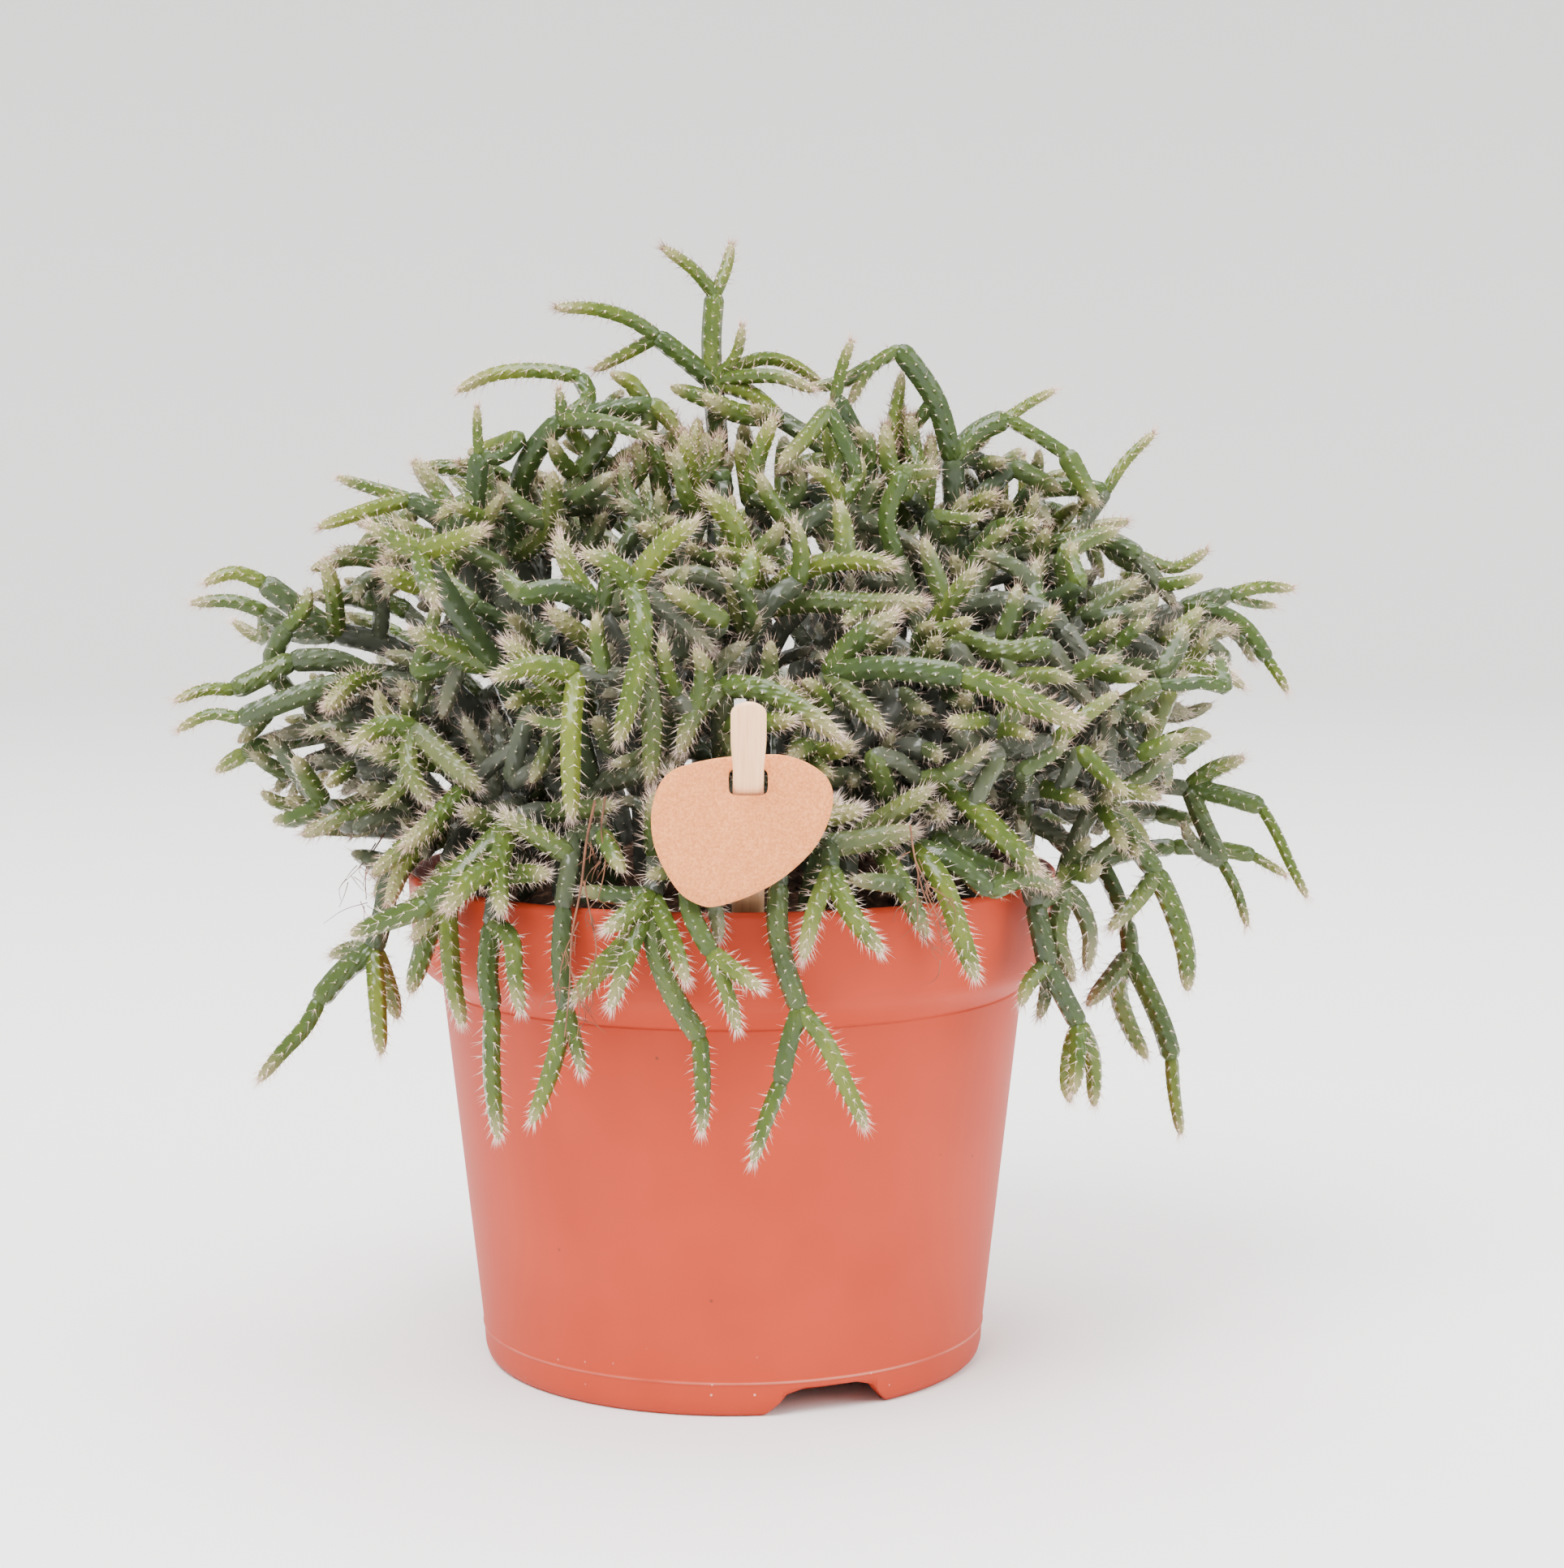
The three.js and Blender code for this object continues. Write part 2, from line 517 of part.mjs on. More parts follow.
/** Short stems that stand off the trunks, outwards and upwards, so that the inside of the bush is full. */
function addSideStems(side) {
  const draw = makeDraw(side.seed);
  const trunks = skeleton.stems.map((stem, index) => [stem, index]).filter(([stem]) => stem.parent === null);
  for (const [trunk, parent] of trunks) {
    for (const index of trunk.along.slice(2, -1)) {
      const [x, y] = skeleton.points[index];
      const azimuth = (Math.atan2(y, x) * 180) / Math.PI + draw(-side.turn, side.turn);
      const elevation = draw(...side.elevation);
      const end = onward(skeleton.points[index], azimuth, elevation, draw(...side.length));
      const width = draw(...side.width);
      if (Math.hypot(x, y) < side.within) addStem(trunk.spray, [index], [end], width, parent);
    }
  }
}

// ---------------------------------------------------------------- bending crossing stems clear

// The room between two stems, between the soil and a stem, and of stems of one spray as a share of their
// radii. In each round a point moves by a share of what it lacks, by no more than a step, and takes on some
// of its neighbours' moves, except in the last rounds, when it settles.
const CLEAR = {
  gap: 0.75, soil: 0.9, own: 0.85,
  rounds: 220, settle: 60, step: 1.2, spread: 0.12,
  stemShare: 0.45, holderShare: 0.3, stickShare: 0.9,
};
const RIM_INSIDE = POT.rimRadius - 9; // within it a stem keeps clear of the soil, beyond it of the rim
const cardAcross = CARD_OUTLINE.map(([x]) => CARD.slotX + x);
const cardUp = CARD_OUTLINE.map(([, z]) => CARD.slotZ + z);
const CARD_BOX = {
  left: Math.min(...cardAcross), right: Math.max(...cardAcross),
  low: Math.min(...cardUp), high: Math.max(...cardUp),
};

/** The spans of all stems: end points, radius, spray and stem. */
function listSpans() {
  const spans = [];
  skeleton.stems.forEach(({ along, radius, spray }, index) => {
    for (let step = 0; step + 1 < along.length; step += 1) {
      spans.push({ a: along[step], b: along[step + 1], radius, spray, index });
    }
  });
  return spans;
}

const minus = (p, q) => [p[0] - q[0], p[1] - q[1], p[2] - q[2]];
const dot = (p, q) => p[0] * q[0] + p[1] * q[1] + p[2] * q[2];
const mix = (p, q, t) => [p[0] + (q[0] - p[0]) * t, p[1] + (q[1] - p[1]) * t, p[2] + (q[2] - p[2]) * t];
const clamp = (value, low, high) => Math.min(high, Math.max(low, value));

/** Where two straight spans come closest, as shares of their lengths. */
function closest(p1, q1, p2, q2) {
  const d1 = minus(q1, p1);
  const d2 = minus(q2, p2);
  const r = minus(p1, p2);
  const a = dot(d1, d1);
  const e = dot(d2, d2);
  const f = dot(d2, r);
  const c = dot(d1, r);
  const b = dot(d1, d2);
  const denominator = a * e - b * b;
  let s = denominator > 1e-9 ? clamp((b * f - c * e) / denominator, 0, 1) : 0.5;
  const t = clamp((b * s + f) / e, 0, 1);
  s = clamp((b * t - c) / a, 0, 1);
  return [s, t];
}

/** What a stem has to stay clear of besides other stems, as a push away from it. */
function pushFromHolder(point, radius) {
  const [x, y, z] = point;
  const room = radius + CLEAR.gap;
  const around = Math.hypot(x, y);
  const push = [0, 0, 0];
  const rimTop = POT.height + room;
  if (z < rimTop && around > RIM_INSIDE && around < POT.rimRadius + room) {
    const out = POT.rimRadius + room - around;
    const up = rimTop - z;
    if (up < out) {
      push[2] += up;
    } else {
      push[0] += (out * x) / around;
      push[1] += (out * y) / around;
    }
  } else if (around <= RIM_INSIDE) {
    push[2] += Math.max(0, soilHeight(x, y) + room + CLEAR.soil - z);
  }
  const { left, right, low, high } = CARD_BOX;
  const besideCard = x > left - room && x < right + room && z > low - room && z < high + room;
  const depth = y - CARD.y;
  const thick = CARD.thickness / 2 + room;
  if (besideCard && Math.abs(depth) < thick) push[1] += depth >= 0 ? thick - depth : -thick - depth;
  return push;
}

/** The stick as a fixed span, from its foot in the soil to its top. */
function stickSpan() {
  const lean = toRadians(STICK.leanDeg);
  const place = (far) => [CARD.slotX, CARD.y - far * Math.sin(lean), CARD.slotZ + far * Math.cos(lean)];
  return [place(-STICK.below), place(STICK.above)];
}

/** Moves the points of the stems, in small rounds, until no stem crosses another, the pot or the tag. */
function bendClear() {
  const { points, fixed } = skeleton;
  const start = points.map((point) => [...point]);
  const spans = listSpans();
  const [stickFoot, stickTop] = stickSpan();
  const joined = points.map(() => []);
  for (const span of spans) {
    joined[span.a].push(span.b);
    joined[span.b].push(span.a);
  }
  const near = (u, v) => u.a === v.a || u.a === v.b || u.b === v.a || u.b === v.b || u.index === v.index;
  for (let round = 0; round < CLEAR.rounds; round += 1) {
    const push = points.map(() => [0, 0, 0]);
    const give = (span, t, vector, share) => {
      const ends = [[span.a, 1 - t], [span.b, t]];
      const hold = (1 - t) ** 2 + t ** 2;
      for (const [index, weight] of ends) {
        for (let k = 0; k < 3; k += 1) push[index][k] += (vector[k] * share * weight) / hold;
      }
    };
    const middles = spans.map(({ a, b }) => mix(points[a], points[b], 0.5));
    const halves = spans.map(({ a, b }) => Math.hypot(...minus(points[a], points[b])) / 2);
    for (let i = 0; i < spans.length; i += 1) {
      const u = spans[i];
      for (let j = i + 1; j < spans.length; j += 1) {
        const v = spans[j];
        const own = u.spray === v.spray;
        const room = own ? (u.radius + v.radius) * CLEAR.own : u.radius + v.radius + CLEAR.gap;
        const apart = minus(middles[i], middles[j]);
        if (dot(apart, apart) > (halves[i] + halves[j] + room) ** 2 || (own && near(u, v))) continue;
        const [s, t] = closest(points[u.a], points[u.b], points[v.a], points[v.b]);
        const between = minus(mix(points[u.a], points[u.b], s), mix(points[v.a], points[v.b], t));
        const distance = Math.hypot(...between);
        if (distance >= room || distance < 1e-6) continue;
        const vector = between.map((value) => (value / distance) * (room - distance));
        give(u, s, vector, CLEAR.stemShare);
        give(v, t, vector, -CLEAR.stemShare);
      }
      for (const t of [0, 0.25, 0.5, 0.75, 1]) {
        give(u, t, pushFromHolder(mix(points[u.a], points[u.b], t), u.radius), CLEAR.holderShare);
      }
      const [s, t] = closest(points[u.a], points[u.b], stickFoot, stickTop);
      const between = minus(mix(points[u.a], points[u.b], s), mix(stickFoot, stickTop, t));
      const distance = Math.hypot(...between);
      const room = u.radius + STICK.width / 2 + CLEAR.gap;
      if (distance < room) {
        give(u, s, between.map((value) => (value / distance) * (room - distance)), CLEAR.stickShare);
      }
    }
    const moved = points.map((point, index) => minus(point, start[index]));
    points.forEach((point, index) => {
      if (fixed[index]) return;
      for (let k = 0; k < 3; k += 1) {
        let shift = push[index][k];
        if (round < CLEAR.rounds - CLEAR.settle) {
          const mean = joined[index].reduce((sum, other) => sum + moved[other][k], 0) / joined[index].length;
          shift += CLEAR.spread * (mean - moved[index][k]);
        }
        point[k] += clamp(shift, -CLEAR.step, CLEAR.step);
      }
    });
  }
}

// ---------------------------------------------------------------- solids and their joins and cuts

function toSolid(geometry) {
  const bare = new THREE.BufferGeometry();
  bare.setAttribute("position", geometry.getAttribute("position").clone());
  if (geometry.index) bare.setIndex(geometry.index.clone());
  const merged = mergeVertices(bare, 1e-4);
  return new wasm.Manifold(
    new wasm.Mesh({
      numProp: 3,
      vertProperties: Float32Array.from(merged.getAttribute("position").array),
      triVerts: Uint32Array.from(merged.index.array),
    }),
  );
}

function toGeometry(solid) {
  const mesh = solid.getMesh();
  const geometry = new THREE.BufferGeometry();
  geometry.setAttribute("position", new THREE.BufferAttribute(mesh.vertProperties.slice(), 3));
  geometry.setIndex(new THREE.BufferAttribute(mesh.triVerts.slice(), 1));
  geometry.computeVertexNormals();
  return geometry;
}

/** A closed solid from rings of points, each ring one step further along, with flat ends. */
function skin(rings) {
  const count = rings[0].length;
  const positions = rings.flat(2);
  const index = [];
  for (let ring = 0; ring + 1 < rings.length; ring += 1) {
    for (let side = 0; side < count; side += 1) {
      const a = ring * count + side;
      const b = ring * count + ((side + 1) % count);
      index.push(a, b, b + count, a, b + count, a + count);
    }
  }
  const last = (rings.length - 1) * count;
  for (let side = 1; side + 1 < count; side += 1) {
    index.push(0, side + 1, side, last, last + side, last + side + 1);
  }
  const geometry = new THREE.BufferGeometry();
  geometry.setAttribute("position", new THREE.Float32BufferAttribute(positions, 3));
  geometry.setIndex(index);
  return geometry;
}

/** A lathe round +Z from a closed profile of [radius, height], listed anticlockwise. */
function turned(profile) {
  const outline = profile.map(([radius, height]) => new THREE.Vector2(radius, height));
  const first = outline[0];
  if (first.x > 0) outline.push(first.clone());
  const geometry = new THREE.LatheGeometry(outline, SIDES);
  geometry.rotateX(Math.PI / 2);
  return geometry;
}

/** A block from an outline in X and Y, which rises along +Z. */
function upright(outline, from, height) {
  const shape = new THREE.Shape(outline.map(([x, y]) => new THREE.Vector2(x, y)));
  const geometry = new THREE.ExtrudeGeometry(shape, { depth: height, bevelEnabled: false });
  geometry.translate(0, 0, from);
  return geometry;
}

// ---------------------------------------------------------------- pot

function potProfile() {
  const { wall, height, rimRadius, collarRadius, bodyTopRadius, bodyTopZ, footRadius, footZ } = POT;
  const floorTop = POT.channelZ + wall;
  const plateTop = POT.plateZ + wall;
  const [flatInner, flatOuter] = POT.footFlat;
  const outside = [
    [flatOuter, 0], [footRadius - 0.7, 0.9], [footRadius - 0.2, 2.8], [footRadius, footZ],
    [bodyTopRadius, bodyTopZ], [collarRadius, bodyTopZ + 4], [collarRadius + 0.7, bodyTopZ + 7],
    [rimRadius, height - 0.8], [rimRadius - 0.6, height],
  ];
  const inside = [
    [rimRadius - wall - 0.2, height], [collarRadius + 0.7 - wall, bodyTopZ + 7.4],
    [collarRadius - wall - 0.2, bodyTopZ + 5], [bodyTopRadius - wall, bodyTopZ + 0.9],
    [footRadius - wall + 0.1, floorTop], [POT.channelInner, floorTop],
    [POT.channelInner - wall, plateTop], [0, plateTop],
  ];
  const under = [[0, POT.plateZ], [POT.channelInner, POT.plateZ], [POT.channelInner + 0.2, POT.channelZ],
    [flatInner - 0.4, POT.channelZ], [flatInner, 0]];
  return [...outside, ...inside, ...under];
}

/** One drain notch: an arch through the foot ring, cut from the front (-Y) and then turned about the axis. */
function notchCutter() {
  const side = [[NOTCH_HALF[0][0] + 0.8, -1], ...NOTCH_HALF];
  const outline = [...side, ...side.map(([across, up]) => [-across, up]).reverse()];
  const geometry = upright(outline, 0, POT.footRadius + 2 - NOTCH.fromRadius);
  geometry.rotateX(Math.PI / 2);
  geometry.translate(0, -NOTCH.fromRadius, 0);
  return geometry;
}

/** One drain hole through the raised ring of the floor, in line with a notch. */
function drainCutter() {
  const geometry = new THREE.CylinderGeometry(DRAIN.radius, DRAIN.radius, 6, 8);
  geometry.rotateX(Math.PI / 2);
  geometry.translate(0, -DRAIN.onRadius, POT.channelZ);
  return geometry;
}

function makePot() {
  let solid = toSolid(turned(potProfile()));
  for (let index = 0; index < NOTCH.count; index += 1) {
    const angle = toRadians(NOTCH.firstDeg + (360 / NOTCH.count) * index);
    solid = solid.subtract(toSolid(notchCutter().rotateZ(angle)));
    solid = solid.subtract(toSolid(drainCutter().rotateZ(angle)));
  }
  return toGeometry(solid);
}

// ---------------------------------------------------------------- soil

/** The soil without its holes: it fills the pot and ends in a lumpy dome. */
function makeSoilBody() {
  const { edgeRadius, edgeZ, bottomZ, clear } = SOIL;
  const lower = POT.footRadius - POT.wall - clear;
  const upper = POT.bodyTopRadius - POT.wall - clear;
  const ringsAt = [[lower, bottomZ], [upper, POT.bodyTopZ + 0.9], [edgeRadius, POT.bodyTopZ + 5.4]];
  const ring = (radius, heightAt) => Array.from({ length: SIDES }, (_, side) => {
    const angle = (2 * Math.PI * side) / SIDES;
    const x = radius * Math.sin(angle);
    const y = -radius * Math.cos(angle);
    return [x, y, heightAt(x, y)];
  });
  const rings = ringsAt.map(([radius, z]) => ring(radius, () => z));
  rings.push(ring(edgeRadius, () => edgeZ - 1));
  for (const share of SOIL_RINGS) rings.push(ring(edgeRadius * share, soilHeight));
  return toSolid(skin(rings));
}

/** An upright prism with a corner at +X. */
function prism(sides, radius, x, y, fromZ, toZ) {
  const ring = (z) => Array.from({ length: sides }, (_, side) => {
    const angle = (2 * Math.PI * side) / sides;
    return [x + radius * Math.cos(angle), y + radius * Math.sin(angle), z];
  });
  return skin([ring(fromZ), ring(toZ)]);
}

/** The soil with a hole for each root and for the stick. */
function makeSoil() {
  let solid = makeSoilBody();
  skeleton.sprays.forEach((spray, index) => {
    const foot = skeleton.stems.find((stem) => stem.spray === index);
    const radius = foot.radius + HOLE_CLEAR * HOLE_CORNER;
    const { x, y, z } = spray;
    const hole = prism(sidesOf(foot), radius, x, y, z - ROOTS.depth - HOLE_CLEAR, z + ROOTS.above);
    solid = solid.subtract(toSolid(hole));
  });
  return toGeometry(solid.subtract(toSolid(stickGeometry(HOLE_CLEAR))));
}

// ---------------------------------------------------------------- tag

/** The card: its rounded outline with the slot, turned upright. */
function makeCard() {
  const curve = new THREE.CatmullRomCurve3(CARD_OUTLINE.map(([x, z]) => new THREE.Vector3(x, z, 0)), true);
  const rounded = curve.getPoints(40).slice(0, -1).map(({ x, y }) => [x, y]);
  const { slotWidth, slotHeight, thickness } = CARD;
  const card = toSolid(upright(rounded, -thickness / 2, thickness));
  const slot = new THREE.BoxGeometry(slotWidth, slotHeight, 3 * thickness);
  const geometry = toGeometry(card.subtract(toSolid(slot)));
  geometry.rotateX(Math.PI / 2);
  geometry.translate(CARD.slotX, CARD.y, CARD.slotZ);
  return geometry;
}

/** The stick, or with a margin the room that it needs. Its top is round and it leans out to the front. */
function stickGeometry(margin = 0) {
  const half = STICK.width / 2 + margin;
  const thickness = STICK.thickness + 2 * margin;
  const outline = [[-half, -STICK.below - margin], [half, -STICK.below - margin]];
  for (let step = 0; step <= 6; step += 1) {
    const angle = (Math.PI * step) / 6;
    outline.push([half * Math.cos(angle), STICK.above - half + half * Math.sin(angle)]);
  }
  const geometry = upright(outline, -thickness / 2, thickness);
  geometry.rotateX(Math.PI / 2 + toRadians(STICK.leanDeg));
  geometry.translate(CARD.slotX, CARD.y, CARD.slotZ);
  return geometry;
}

// ---------------------------------------------------------------- sprays

const sidesOf = ({ radius }) => STEM_SIDES.find(([least]) => 2 * radius >= least)[1];

const lastOf = (list) => list[list.length - 1];
const childrenAtEnd = (stem) => skeleton.stems.filter(({ along }) => along[0] === lastOf(stem.along));

/** The stem that runs on from the end of another in one tube. */
const heirOf = (stem) => childrenAtEnd(stem)[0];

/** The tubes of a spray, each a list of stems that run on one after the other. */
function listTubes(spray) {
  const stems = skeleton.stems.filter((stem) => stem.spray === spray);
  const heirs = new Set(stems.map(heirOf));
  return stems.filter((stem) => !heirs.has(stem)).map((stem) => {
    const tube = [];
    for (let next = stem; next !== undefined; next = heirOf(next)) tube.push(next);
    return tube;
  });
}

const placeOf = (index) => new THREE.Vector3(...skeleton.points[index]);

/** Where a tube starts: in its hole in the soil, or sunk into the stem that it grows from. */
function tubeStart(stem) {
  const start = placeOf(stem.along[0]);
  if (stem.parent === null) return [start, stem.radius];
  const { along } = skeleton.stems[stem.parent];
  const before = placeOf(along[along.indexOf(stem.along[0]) - 1]);
  return [start.clone().addScaledVector(before.sub(start).normalize(), SUNK), stem.radius * JOINT];
}

/** A tube of stems: narrower where it leaves its parent and at its joints, and rounded off at a free end. */
function tubeGeometry(tube) {
  const stations = [tubeStart(tube[0])];
  tube.forEach((stem, step) => {
    stem.along.slice(1, -1).forEach((index) => stations.push([placeOf(index), stem.radius]));
    const [before, end] = stem.along.slice(-2).map(placeOf);
    const next = tube[step + 1];
    if (next !== undefined) {
      stations.push([end, Math.min(stem.radius, next.radius) * PINCH]);
    } else if (childrenAtEnd(stem).length > 0) {
      stations.push([end, stem.radius * SHOULDER]);
    } else {
      const backward = before.sub(end).normalize();
      stations.push([end.clone().addScaledVector(backward, stem.radius), stem.radius * SHOULDER]);
      stations.push([end, stem.radius * TIP]);
    }
  });
  return skin(ringsAlong(thinned(stations), sidesOf(tube[0])));
}

/** The stations of a tube without those where it runs on straight at much the same radius. */
function thinned(stations) {
  const kept = stations.slice(0, 1);
  for (let index = 1; index + 1 < stations.length; index += 1) {
    const [before, radiusBefore] = lastOf(kept);
    const [after, radiusAfter] = stations[index + 1];
    const [center, radius] = stations[index];
    const chord = new THREE.Line3(before, after);
    const share = chord.closestPointToPointParameter(center, true);
    const off = chord.at(share, new THREE.Vector3()).distanceTo(center);
    const thinner = Math.abs(radius - radiusBefore - (radiusAfter - radiusBefore) * share);
    if (off > STRAIGHT || thinner > STRAIGHT) kept.push(stations[index]);
  }
  return [...kept, lastOf(stations)];
}

/** Rings square to the way through the stations, turned as little as possible from one to the next. */
function ringsAlong(stations, sides) {
  let across = new THREE.Vector3(1, 0, 0);
  return stations.map(([center, radius], index) => {
    const before = stations[Math.max(index - 1, 0)][0];
    const after = stations[Math.min(index + 1, stations.length - 1)][0];
    const tangent = after.clone().sub(before).normalize();
    if (Math.abs(across.dot(tangent)) > 0.95) across = new THREE.Vector3(0, 0, 1);
    across = across.clone().addScaledVector(tangent, -across.dot(tangent)).normalize();
    const up = tangent.clone().cross(across);
    return Array.from({ length: sides }, (_, side) => {
      const angle = (2 * Math.PI * side) / sides;
      const point = center.clone();
      point.addScaledVector(across, radius * Math.cos(angle));
      point.addScaledVector(up, radius * Math.sin(angle));
      return point.toArray();
    });
  });
}

/** One spray: all its tubes joined. */
function makeSpray(index) {
  const pieces = listTubes(index).map((tube) => toSolid(tubeGeometry(tube)));
  return toGeometry(pieces.reduce((solid, piece) => solid.add(piece)));
}

// ---------------------------------------------------------------- the object

addSpraysByHand(SPRAYS);
addSpraysByRule(FILL);
addSideStems(SIDE);
spaceRoots();
bendClear();

const group = new THREE.Group();

function addPart(name, geometry, color, roughness) {
  const mesh = new THREE.Mesh(geometry, new THREE.MeshStandardMaterial({ color, roughness, metalness: 0 }));
  mesh.name = name;
  group.add(mesh);
}

addPart("pot", makePot(), 0xca7765, 0.5);
addPart("soil", makeSoil(), 0x35261e, 0.95);
addPart("tag_card", makeCard(), 0xcda07d, 0.85);
addPart("tag_stick", stickGeometry(), 0xe3c39f, 0.7);
skeleton.sprays.forEach((spray, index) => {
  addPart(`spray_${spray.name}`, makeSpray(index), 0x5d7a3f, 0.55);
});

// The pot's axis lies off the middle of the whole outline, so the group is moved to bring that to the origin.
const outline = new THREE.Box3().setFromObject(group);
group.position.set(-(outline.min.x + outline.max.x) / 2, -(outline.min.y + outline.max.y) / 2, 0);

export default group;
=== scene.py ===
# %% [markdown]
# # A hairy mistletoe cactus in its nursery pot
#
# The real plant is a bush of leafless stems that fork again and again. Each stem is a ribbed green cylinder
# with a woolly dot, an areole, every few millimetres, and a few pale bristles stand on each dot. The packed
# frame holds the same sprays as plain tubes. Here every spray gets its ribs, dots and bristles, and the pot,
# the soil and the tag get their fine surfaces.

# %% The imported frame
import json
import math

import bpy
import numpy as np
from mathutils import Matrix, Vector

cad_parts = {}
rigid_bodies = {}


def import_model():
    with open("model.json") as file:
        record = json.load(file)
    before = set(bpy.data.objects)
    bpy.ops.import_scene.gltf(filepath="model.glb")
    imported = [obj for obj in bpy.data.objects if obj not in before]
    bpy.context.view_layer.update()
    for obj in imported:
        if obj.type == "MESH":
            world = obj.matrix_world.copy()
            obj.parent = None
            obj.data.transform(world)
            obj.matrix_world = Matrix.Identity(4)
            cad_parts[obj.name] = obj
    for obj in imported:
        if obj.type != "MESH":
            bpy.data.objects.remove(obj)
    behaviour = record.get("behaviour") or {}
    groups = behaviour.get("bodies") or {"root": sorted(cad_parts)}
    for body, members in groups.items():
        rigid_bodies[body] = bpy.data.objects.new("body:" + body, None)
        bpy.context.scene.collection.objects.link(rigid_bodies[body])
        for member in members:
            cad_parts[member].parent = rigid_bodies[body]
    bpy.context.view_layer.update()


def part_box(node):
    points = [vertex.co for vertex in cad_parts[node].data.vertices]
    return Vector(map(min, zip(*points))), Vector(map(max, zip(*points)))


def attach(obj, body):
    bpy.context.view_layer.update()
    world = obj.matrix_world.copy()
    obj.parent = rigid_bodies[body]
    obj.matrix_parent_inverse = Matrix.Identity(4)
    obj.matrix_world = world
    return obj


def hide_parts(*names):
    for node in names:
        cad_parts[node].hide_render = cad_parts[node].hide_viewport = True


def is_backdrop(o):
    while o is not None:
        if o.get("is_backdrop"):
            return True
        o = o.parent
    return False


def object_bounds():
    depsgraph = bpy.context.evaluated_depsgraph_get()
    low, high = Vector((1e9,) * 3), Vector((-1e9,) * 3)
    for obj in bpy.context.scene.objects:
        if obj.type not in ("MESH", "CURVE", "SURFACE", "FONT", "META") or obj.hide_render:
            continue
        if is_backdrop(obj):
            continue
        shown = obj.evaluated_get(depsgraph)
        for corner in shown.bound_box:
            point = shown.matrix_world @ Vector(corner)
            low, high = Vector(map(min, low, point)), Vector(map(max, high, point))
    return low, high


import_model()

MM = 0.001  # everything below is worked out in millimetres from the foot of the pot's axis
low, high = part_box("pot")
AXIS = np.array([(low.x + high.x) / 2, (low.y + high.y) / 2, low.z]) / MM
print("the pot's axis stands at", np.round(AXIS, 3), "mm")

# %% [markdown]
# ## The camera
#
# A camera 62 cm in front of the pot's axis and 18 cm above its foot, as a long lens sees it, keeps the pot's
# sides nearly upright. Its lens is given by the height of the picture, so the width of the picture never
# changes the scale.

# %% The camera
CAMERA = {"back": 621.3, "height": 176.0, "down": 0.1090, "turn": -0.0149, "focal_px": 4100, "frame_px": 1932,
          "sensor": 36}
camera = bpy.data.objects.new("camera", bpy.data.cameras.new("camera"))
bpy.context.scene.collection.objects.link(camera)
bpy.context.scene.camera = camera
camera.data.sensor_fit = "VERTICAL"
camera.data.sensor_height = CAMERA["sensor"]
camera.data.lens = CAMERA["sensor"] * CAMERA["focal_px"] / CAMERA["frame_px"]
camera.data.clip_start = 0.01
camera.location = (AXIS + (0, -CAMERA["back"], CAMERA["height"])) * MM
camera.rotation_euler = (math.pi / 2 - CAMERA["down"], 0, CAMERA["turn"])
print("the lens is", round(camera.data.lens, 2), "mm on a sensor", CAMERA["sensor"], "mm high")

# %% [markdown]
# ## Meshes from arrays
#
# Each shape is a grid of points that numpy works out as whole arrays. Three small functions give its
# triangles: those of a grid that is closed round its columns, those of a tube, which is such a grid with a
# point at each end, and those of a ring, which is closed both ways. A fourth hands points and triangles to
# Blender.


# %% Faces and meshes
def full_turn(count):
    """Equal angles round a circle."""
    return 2 * math.pi * np.arange(count) / count


def grid_faces(rows, columns):
    """Triangles of a grid that is closed round its columns: each cell between two rows is cut in two."""
    row, column = np.meshgrid(np.arange(rows - 1), np.arange(columns), indexing="ij")
    a = row * columns + column
    b = row * columns + (column + 1) % columns
    return np.stack([a, b, b + columns, a, b + columns, a + columns], -1).reshape(-1, 3)


def tube_faces(rows, columns):
    """Triangles of a closed tube: its grid, and a fan to each of two more points, for its start and end."""
    around = np.arange(columns)
    following = (around + 1) % columns
    start, last = rows * columns, (rows - 1) * columns
    opening = np.stack([np.full(columns, start), following, around], -1)
    closing = np.stack([np.full(columns, start + 1), last + around, last + following], -1)
    return np.vstack([grid_faces(rows, columns), opening, closing])


def ring_faces(rows, columns):
    """Triangles of a grid that is closed both ways: its grid, and the cells from the last row to the
    first."""
    join = grid_faces(2, columns)
    join = np.where(join < columns, join + (rows - 1) * columns, join - columns)
    return np.vstack([grid_faces(rows, columns), join])
def make_piece(name, points, faces, nodes=(), values=None):
    """A mesh from points in millimetres and triangles, with one number a point for each named value."""
    mesh = bpy.data.meshes.new(name)
    mesh.vertices.add(len(points))
    mesh.vertices.foreach_set("co", ((points + AXIS) * MM).astype(np.float32).ravel())
    mesh.loops.add(faces.size)
    mesh.loops.foreach_set("vertex_index", faces.astype(np.int32).ravel())
    mesh.polygons.add(len(faces))
    mesh.polygons.foreach_set("loop_start", np.arange(0, faces.size, 3, dtype=np.int32))
    mesh.polygons.foreach_set("use_smooth", np.ones(len(faces), bool))
    for key, numbers in (values or {}).items():
        attribute = mesh.attributes.new(key, "FLOAT", "POINT")
        attribute.data.foreach_set("value", np.asarray(numbers, np.float32))
    mesh.update(calc_edges=True)
    piece = bpy.data.objects.new(name, mesh)
    bpy.context.scene.collection.objects.link(piece)
    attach(piece, "root")
    if nodes:
        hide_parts(*nodes)
    return piece


